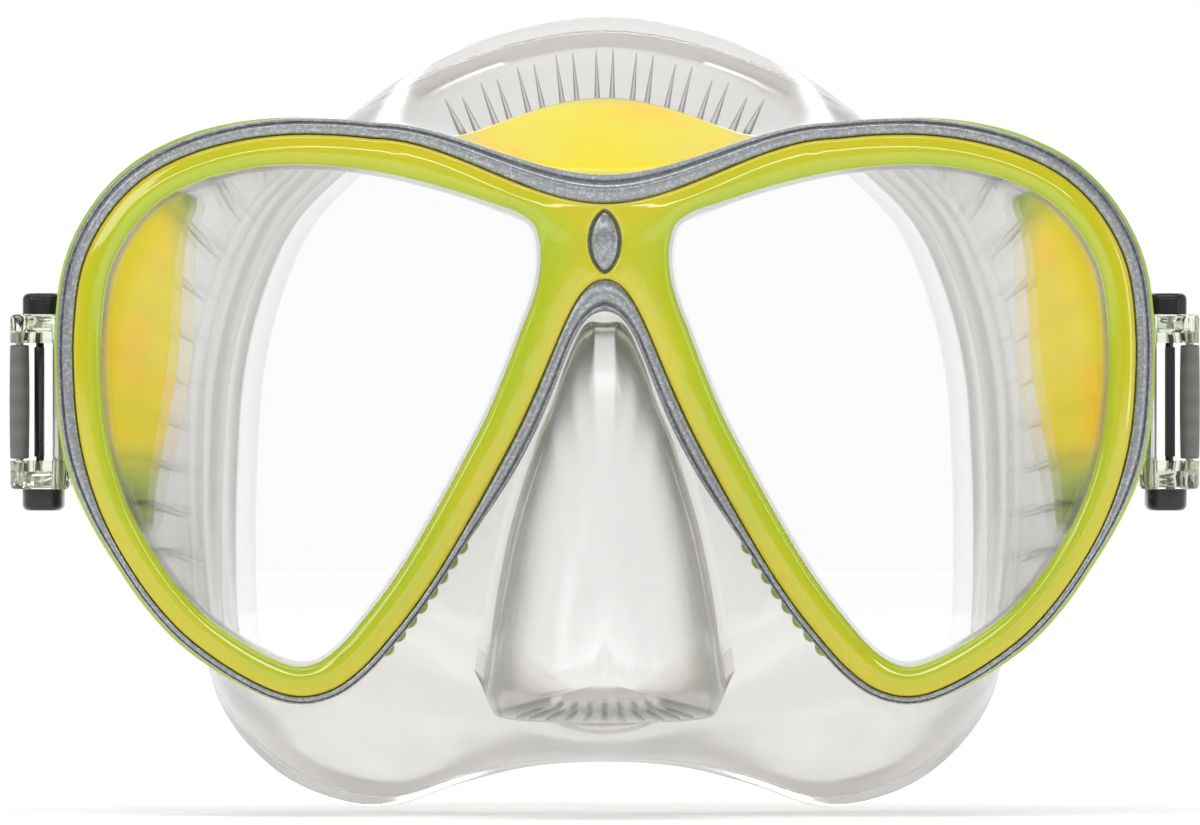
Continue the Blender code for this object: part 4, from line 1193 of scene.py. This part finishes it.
class SNORKEL_OT_skirt(bpy.types.Operator):
    """The clear silicone skirt: cups behind the glass, nose pocket, side walls and feathered seal"""
    bl_idname = "snorkel.skirt"
    bl_label = "Skirt"

    def execute(self, context):
        s = context.scene.mask_skirt
        rings = SkirtRings()
        wall_front, wall_back = -s.depth, -s.depth + s.wall
        bm = bmesh.new()

        def surface(outline, holes, y):
            flat, faces = triangulated(outline, holes, (), 3.0 * MM)
            add_surface(bm, laid(flat, y), faces)

        def loops(rows, **ends):
            add_loops(bm, [[tuple(p) for p in swept(row)] for row in rows], **ends)

        outer_nose, outer_foot = nose_rings(0.0)
        inner_nose, inner_foot = nose_rings(s.wall)
        loops(outer_nose, close_last=True)
        loops(inner_nose, close_last=True)

        inset = offset(rings.front, -s.fold)
        inner_inset = offset(rings.front, -s.fold - s.wall)
        cups, tunnels = windows(s.cup), windows(-0.5 * MM)
        surface(inset, [*cups, [(p[0], p[2]) for p in outer_foot]], wall_front)
        surface(inner_inset, [*tunnels, [(p[0], p[2]) for p in inner_foot]], wall_back)
        for cup, tunnel, flange in zip(cups, tunnels, windows(s.flange)):
            section = ((cup, wall_front), (cup, FRAME_BACK), (flange, FRAME_BACK), (flange, FLANGE_FRONT),
                       (tunnel, FLANGE_FRONT), (tunnel, wall_back - 0.5 * MM), (tunnel, wall_back))
            loops([ring3(loop, y) for loop, y in section])

        outer = eased((ring3(inset, wall_front), rings.ring(0.0), rings.ring(0.12)))
        outer += [rings.ring(d) for d in (0.25, 0.4, 0.55, 0.7, 0.85)]
        outer += eased((rings.ring(0.96), rings.ring(1.0), rings.ring(1.0, 1.2 * MM)))

        def on_face(inward, lift):
            row = rings.ring(1.0, inward)
            row[:, 1] = face_y(row[:, 0]) - lift
            return row

        tip = s.lip_width - 0.15 * MM
        outer += [on_face(i * MM, 0.0) for i in (2.5, 3.8)]
        outer += [on_face(tip, 0.05 * MM), on_face(s.lip_width, s.lip_edge / 2), on_face(tip, s.lip_edge)]
        inner = eased((on_face(3.6 * MM, 1.2 * MM), rings.ring(1.0, s.wall, -1.5 * MM),
                       rings.ring(0.86, s.wall)))
        inner += [rings.ring(d, s.wall) for d in (0.7, 0.55, 0.4, 0.28)]
        inner += eased((rings.ring(0.18, s.wall, s.wall * 0.8), rings.ring(0.0, s.wall, s.wall),
                        ring3(inner_inset, wall_back)))
        loops(outer + inner)
        tidied(bm, 5e-6)
        silicone = finish(clear_silicone, context.scene.mask_colours.silicone)
        obj = new_piece("skirt_moulding", bm, silicone, 60)
        settle(obj, "root", "skirt_silicone", "skirt")
        return {"FINISHED"}


class SNORKEL_OT_ribs(bpy.types.Operator):
    """Thin moulded ribs on the brow, the temples' walls and under the nose"""
    bl_idname = "snorkel.ribs"
    bl_label = "Skirt ribs"

    def execute(self, context):
        s = context.scene.mask_skirt
        rings = SkirtRings()
        silicone = finish(clear_silicone, context.scene.mask_colours.silicone)
        tree = rib_tree()

        def grow_ribs(name, paths, radius, foot, tip):
            obj = grown(paths_object(name, paths), tree, {
                "Radius": radius, "Foot": foot, "Tip": tip, "Material": silicone})
            settle(obj, "root", "skirt_silicone")

        def along(angle, first, last, inward, curl=0.0):
            depths = np.linspace(first, last, 16)
            return swept([rings.at(angle + curl * (d - first) ** 2, d, inward) for d in depths])

        brow_radius = s.top - seal_middle()
        pair = s.brow_rib_pitch * 0.42 / brow_radius
        paths = []
        for k in range(-4, 5):
            middle = k * s.brow_rib_pitch / brow_radius
            for angle in (middle - pair / 2, middle + pair / 2):
                paths.append(along(angle, 0.24, 0.78 - 0.012 * k * k, 0.1 * MM))
        grow_ribs("brow_ribs", paths, s.rib_radius * 1.7, 0.1, 0.8)

        paths = []
        for side in (1, -1):
            for k in range(13):
                angle = math.radians(47 + 6.0 * k)
                paths.append(along(side * angle, 0.1, 0.82, s.wall, side * 0.12))
        grow_ribs("temple_ribs", paths, s.rib_radius * 1.7, 0.3, 0.3)

        rows = nose_rings(0.0)[0]
        under = [i for i, (x, z) in enumerate(nose_outline())
                 if z < s.nose_bottom + 4 * MM and abs(x) < 0.42 * s.nose_width]
        paths = [swept([row[i] + (0, 0, 0.1 * MM) for row in rows[8:14]]) for i in under]
        grow_ribs("nose_grips", paths, s.rib_radius * 1.3, 0.2, 0.2)

        paths = []
        for row in (rows[6], rows[8]):
            for side in (1, -1):
                flank = [p for p in row if side * p[0] > 0 and -42 * MM < p[2] < -6 * MM]
                paths.append(swept(sorted(flank, key=lambda p: p[2])))
        grow_ribs("nose_flanks", paths, s.rib_radius * 1.1, 0.3, 0.3)
        return {"FINISHED"}


class SNORKEL_OT_inserts(bpy.types.Operator):
    """The yellow pads on the brow and inside each temple"""
    bl_idname = "snorkel.inserts"
    bl_label = "Yellow pads"

    def execute(self, context):
        s, colours = context.scene.mask_skirt, context.scene.mask_colours
        rings = SkirtRings()
        yellow = finish(yellow_silicone, colours.pad_yellow, colours.pad_orange, colours.pad_edge)
        step = 2 * math.pi / 56
        columns, rows = 49, 21
        # Piece, its node, middle and reach round the wall in steps; depth shares of its front edge, of its
        # length at the ends and of the swell in its middle; how far in from the wall, and thickness.
        pads = (("brow_pad", "brow_insert", 0, 5.0, 0.09, 0.13, 0.36, -0.25 * MM, -s.pad_thickness),
                ("temple_pad_right", "side_insert_right", 13, 3.3, 0.14, 0.30, 0.42, s.wall, s.pad_thickness),
                ("temple_pad_left", "side_insert_left", -13, 3.3, 0.14, 0.30, 0.42, s.wall, s.pad_thickness))
        for name, node, middle, reach, first, shortest, bulge, inner, thick in pads:
            bm = bmesh.new()
            grid = {}
            for layer in (0, 1):
                for i in range(columns):
                    across = -1 + 2 * i / (columns - 1)
                    angle = (middle + across * reach) * step
                    last = shortest + bulge * (1 - across ** 2)
                    for j in range(rows):
                        down = j / (rows - 1)
                        rim = min(1 - abs(across), down, 1 - down) * 2
                        swell = math.sqrt(max(0.0, 1 - (1 - min(rim * 3.5, 1.0)) ** 2))
                        lift = inner + (thick * swell if layer else 0.0)
                        place = rings.at(angle, first + (last - first) * down, lift)
                        grid[layer, i, j] = bm.verts.new(swept([place])[0])
            for layer in (0, 1):
                for i, j in itertools.product(range(columns - 1), range(rows - 1)):
                    bm.faces.new([grid[layer, i + a, j + b] for a, b in ((0, 0), (1, 0), (1, 1), (0, 1))])
            tidied(bm, 1e-6)
            obj = new_piece(name, bm, yellow, 60)
            points = mesh_points(obj.data)
            low, high = points.min(axis=0), points.max(axis=0)
            across, _, up = ((points - (low + high) / 2) / np.maximum((high - low) / 2, 1e-6)).T
            if middle:
                across = np.minimum(across * math.copysign(1, middle), 0)
            down = up * np.where(up < 0, 1.5 if middle else 1.0, 0.85)
            store(obj.data, "slope", np.clip(1.2 - np.sqrt(across ** 2 * 0.9 + down ** 2), 0, 1))
            settle(obj, "root", "insert_yellow", node)
        return {"FINISHED"}


class SNORKEL_OT_buckles(bpy.types.Operator):
    """Both strap buckles: clear bodies, black buttons, lock bars, rollers, springs and pins"""
    bl_idname = "snorkel.buckles"
    bl_label = "Buckles"

    def clear_body(self, context):
        s, colours = context.scene.mask_buckle, context.scene.mask_colours
        low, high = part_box("buckle_body_right")
        pivot = centre("swivel_pin_right")
        outer, inner = high.x, low.x + 0.07 * MM
        nose = pivot.y - low.y
        turns = [math.radians(a) for a in range(0, 46, 9)]
        plan = [(pivot.x - nose * math.sin(a), pivot.y - nose * math.cos(a)) for a in turns]
        plan.append((inner, pivot.y + nose / 2))
        corner = 1.6 * MM
        for cx, cy, start in ((inner + corner, high.y - corner, 180), (outer - corner, high.y - corner, 90),
                              (outer - corner, low.y + corner, 0)):
            turns = [math.radians(start - 15 * k) for k in range(7)]
            plan += [(cx + corner * math.cos(a), cy + corner * math.sin(a)) for a in turns]
        body = new_piece("buckle_shell_right", prism(plan, low.z, high.z),
                         finish(clear_polycarbonate, colours.buckle))
        softened(body, s.edge, 4, 60)
        wall = inner + s.base_wall
        channel = s.channel
        past = 40 * MM
        for tool in (block((wall, low.y - past), (outer + past, high.y + past), channel),
                     rod(pivot.x, pivot.y, KNUCKLE_CLEARANCE, -channel, channel, 40),
                     block((inner - past, low.y - past), (wall + CLEARANCE, pivot.y), channel),
                     rod(pivot.x, pivot.y, PIN_HOLE, low.z - MM, high.z + MM, 24)):
            carve(body, "DIFFERENCE", tool)
        for node in ("roller_axle_right", "strap_lock_right"):
            place, top = centre(node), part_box(node)[1].z
            y = place.y if node.startswith("roller") else LOCK_Y
            carve(body, "DIFFERENCE", rod(place.x, y, ROD_HOLE, -top - CLEARANCE, top + CLEARANCE, 24))
        for up, end in ((1, "upper"), (-1, "lower")):
            near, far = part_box(f"button_{end}_right")
            plan = rounded_plan((near.x - CLEARANCE, near.y - CLEARANCE),
                                (far.x + CLEARANCE, far.y + CLEARANCE), 1.5 * MM)
            z0, z1 = sorted((up * POCKET_FLOOR, up * (high.z + MM)))
            carve(body, "DIFFERENCE", prism(plan, z0, z1))
            z0, z1 = sorted((up * (channel - CLEARANCE), up * high.z))
            carve(body, "DIFFERENCE", rod(CAM_X, CAM_Y, 0.6 * MM, z0, z1, 16))
        smoothed(body.data, 35)
        return body

    def button_cap(self, context, end, up):
        s = context.scene.mask_buckle
        low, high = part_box(f"button_{end}_right")
        foot, top = sorted((abs(low.z), abs(high.z)))
        bottom = BUTTON_BOTTOM
        mid_x, mid_y = (low.x + high.x) / 2, (low.y + high.y) / 2
        half_x, half_y = (high.x - low.x) / 2, (high.y - low.y) / 2
        edge = 0.9 * MM
        rows = [(0.25 * MM, bottom), (0.0, bottom + 0.25 * MM), (0.0, top - edge)]
        turns = [math.radians(a) for a in (20, 40, 60, 80, 90)]
        rows += [(edge * (1 - math.cos(a)), top - edge * (1 - math.sin(a))) for a in turns]
        bm = bmesh.new()

        def ring(inset, z):
            loop = []
            for k in range(64):
                a = 2 * math.pi * k / 64
                c, n = math.cos(a), math.sin(a)
                loop.append((mid_x + (half_x - inset) * math.copysign(abs(c) ** 0.5, c),
                             mid_y + (half_y - inset) * math.copysign(abs(n) ** 0.5, n), up * z))
            return loop

        loops = [ring(i, z) for i, z in rows]
        reach = half_x - edge
        for share in (0.96, 0.9, 0.8, 0.66, 0.5, 0.34, 0.18, 0.06):
            inset = edge + reach * (1 - share)
            fall = s.button_dish * (1 - share ** 2) ** 1.5
            loops.append(ring(min(inset, half_x - 0.05 * MM), top - fall))
        add_loops(bm, loops, True, True)
        black = finish(gloss_abs, context.scene.mask_colours.black)
        cap = new_piece(f"button_cap_{end}_right", tidied(bm), black)
        coil = centre(f"button_spring_{end}_right")
        coil_top = max(abs(corner.z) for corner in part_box(f"button_spring_{end}_right"))
        z0, z1 = sorted((up * (bottom - MM), up * (coil_top + 0.1 * MM)))
        carve(cap, "DIFFERENCE", rod(coil.x, coil.y, 1.6 * MM, z0, z1, 32))
        z0, z1 = sorted((up * foot, up * (bottom + 0.4 * MM)))
        carve(cap, "UNION", rod(CAM_X, CAM_Y, 0.5 * MM, z0, z1, 20))
        smoothed(cap.data)
        return cap

    def roller(self, context):
        place, (low, high) = centre("strap_roller_right"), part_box("strap_roller_right")
        radius, half = (high.x - low.x) / 2, high.z
        edge = 0.35 * MM
        shoulder = radius - 0.12 * MM
        rows = [(ROD_HOLE, -half), (radius - edge, -half), (shoulder, -half + 0.1 * MM)]
        rows += [(radius - 0.1 * MM * (z / half) ** 2, z) for z in np.linspace(-half + edge, half - edge, 15)]
        rows += [(shoulder, half - 0.1 * MM), (radius - edge, half), (ROD_HOLE, half), (ROD_HOLE, -half)]
        bm = bmesh.new()
        add_loops(bm, turned_rings(place.x, place.y, rows, 48))
        grey = finish(turned_acetal, context.scene.mask_colours.graphite)
        return new_piece("roller_right", tidied(bm), grey)

    def lock_bar(self, context):
        bm = bmesh.new()
        bm.from_mesh(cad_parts["strap_lock_right"].data)
        bmesh.ops.remove_doubles(bm, verts=bm.verts, dist=1e-6)
        bmesh.ops.dissolve_limit(bm, angle_limit=math.radians(1), verts=bm.verts, edges=bm.edges)
        bar = new_piece("lock_bar_right", bm, finish(gloss_abs, context.scene.mask_colours.black), 30)
        return softened(bar, 0.1 * MM, 2, 40)

    def coil(self, context, end, name):
        s = context.scene.mask_buckle
        low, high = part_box(f"button_spring_{end}_{name}")
        radius = (high.x - low.x) / 2 - s.wire
        obj = grown(paths_object(f"spring_{end}_{name}", [((0, 0, 0), (0, 0, MM))]), coil_tree(), {
            "Turns": s.coil_turns, "Coil radius": radius, "Wire radius": s.wire,
            "Height": high.z - low.z - 2 * s.wire,
            "Material": finish(drawn_steel, context.scene.mask_colours.steel)})
        place = centre(f"button_spring_{end}_{name}")
        obj.data.transform(Matrix.Translation((place.x, place.y, low.z + s.wire)))
        return obj

    def execute(self, context):
        steel = finish(drawn_steel, context.scene.mask_colours.steel)
        body, roller, bar = self.clear_body(context), self.roller(context), self.lock_bar(context)
        caps = {end: self.button_cap(context, end, up) for end, up in (("upper", 1), ("lower", -1))}
        for name, side in SIDES:
            def sided(obj, title):
                return obj if side == 1 else other_side(obj, title)

            group, wheel, lock = f"buckle_{name}", f"strap_roller_{name}", f"strap_lock_{name}"
            settle(sided(body, f"buckle_shell_{name}"), group, "buckle_clear", f"buckle_body_{name}")
            settle(sided(roller, f"roller_{name}"), wheel, "roller_grey", wheel)
            settle(sided(bar, f"lock_bar_{name}"), lock, "button_black", lock)
            for node, title, on in ((f"swivel_pin_{name}", "swivel_rod", "root"),
                                    (f"roller_axle_{name}", "axle_rod", group)):
                (low, high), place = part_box(node), centre(node)
                pin = rod(place.x, place.y, (high.x - low.x) / 2, low.z, high.z, 32, 0.2 * MM)
                settle(new_piece(f"{title}_{name}", pin, steel), on, "steel", node)
            for end, up in (("upper", 1), ("lower", -1)):
                cap = sided(caps[end], f"button_cap_{end}_{name}")
                settle(cap, f"button_{end}_{name}", "button_black", f"button_{end}_{name}")
                spring = self.coil(context, end, name)
                settle(spring, group, "steel", f"button_spring_{end}_{name}")
                low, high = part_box(f"button_spring_{end}_{name}")
                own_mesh(spring)
        return {"FINISHED"}


class SNORKEL_OT_stage(bpy.types.Operator):
    """A pale studio: a flat paper floor, soft lights and a long lens"""
    bl_idname = "snorkel.stage"
    bl_label = "Studio"

    def execute(self, context):
        floor_z = CAD_BOX[0].z - 0.2 * MM
        bm = bmesh.new()
        add_loops(bm, turned_rings(0, 0, [(r, floor_z) for r in FLOOR_RADII], 72), close_last=True)
        bmesh.ops.recalc_face_normals(bm, faces=bm.faces)
        if sum(face.normal.z for face in bm.faces) < 0:
            bmesh.ops.reverse_faces(bm, faces=bm.faces)
        floor = new_piece("studio_floor", bm, finish(matt_paper, context.scene.mask_colours.backdrop))

        for name, place, size, power in STUDIO_LIGHTS:
            light = bpy.data.lights.new(name, "AREA")
            light.shape = "RECTANGLE"
            light.size, light.size_y = size
            light.energy = power
            obj = bpy.data.objects.new(name, light)
            context.scene.collection.objects.link(obj)
            obj.location = place
            obj.rotation_euler = (-Vector(place)).to_track_quat("-Z", "Y").to_euler()
            obj.visible_camera = False

        context.scene.world = studio_air("studio_air")
        context.scene.view_settings.view_transform = "Standard"

        camera = bpy.data.cameras.new("long_lens")
        camera.lens = FOCAL_LENGTH
        camera.sensor_width = SENSOR_WIDTH
        camera.clip_start = 0.01
        obj = bpy.data.objects.new("long_lens", camera)
        context.scene.collection.objects.link(obj)
        away = VIEW_WIDTH * FOCAL_LENGTH / SENSOR_WIDTH
        obj.location = (VIEW_CENTRE[0], BEZEL_BACK - away, VIEW_CENTRE[1])
        obj.rotation_euler = (math.radians(90), 0, 0)
        context.scene.camera = obj
        return {"FINISHED"}


class SNORKEL_PT_panel(bpy.types.Panel):
    """Sizes, colours and a button for each piece, in the 3D view's sidebar"""
    bl_label = "Snorkel mask"
    bl_idname = "SNORKEL_PT_panel"
    bl_space_type = "VIEW_3D"
    bl_region_type = "UI"
    bl_category = "Mask"

    def draw(self, context):
        for group in (context.scene.mask_front, context.scene.mask_skirt, context.scene.mask_buckle,
                      context.scene.mask_colours):
            box = self.layout.box()
            for name in group.__annotations__:
                box.prop(group, name)
        for operator in PIECES:
            self.layout.operator(operator.bl_idname)


PIECES = (SNORKEL_OT_bezel, SNORKEL_OT_main_frame, SNORKEL_OT_rear_subframe, SNORKEL_OT_lenses,
          SNORKEL_OT_skirt, SNORKEL_OT_ribs, SNORKEL_OT_inserts, SNORKEL_OT_buckles, SNORKEL_OT_stage)
GROUPS = (("mask_front", FrontSizes), ("mask_skirt", SkirtSizes), ("mask_buckle", BuckleSizes),
          ("mask_colours", MaskColours))


def register():
    for _, group in GROUPS:
        bpy.utils.register_class(group)
    for name, group in GROUPS:
        setattr(bpy.types.Scene, name, bpy.props.PointerProperty(type=group))
    for operator in PIECES:
        bpy.utils.register_class(operator)
    bpy.utils.register_class(SNORKEL_PT_panel)


def unregister():
    bpy.utils.unregister_class(SNORKEL_PT_panel)
    for operator in reversed(PIECES):
        bpy.utils.unregister_class(operator)
    for name, group in reversed(GROUPS):
        delattr(bpy.types.Scene, name)
        bpy.utils.unregister_class(group)


def main():
    register()
    for operator in PIECES:
        section, name = operator.bl_idname.split(".")
        getattr(getattr(bpy.ops, section), name)()


if __name__ == "__main__":
    main()
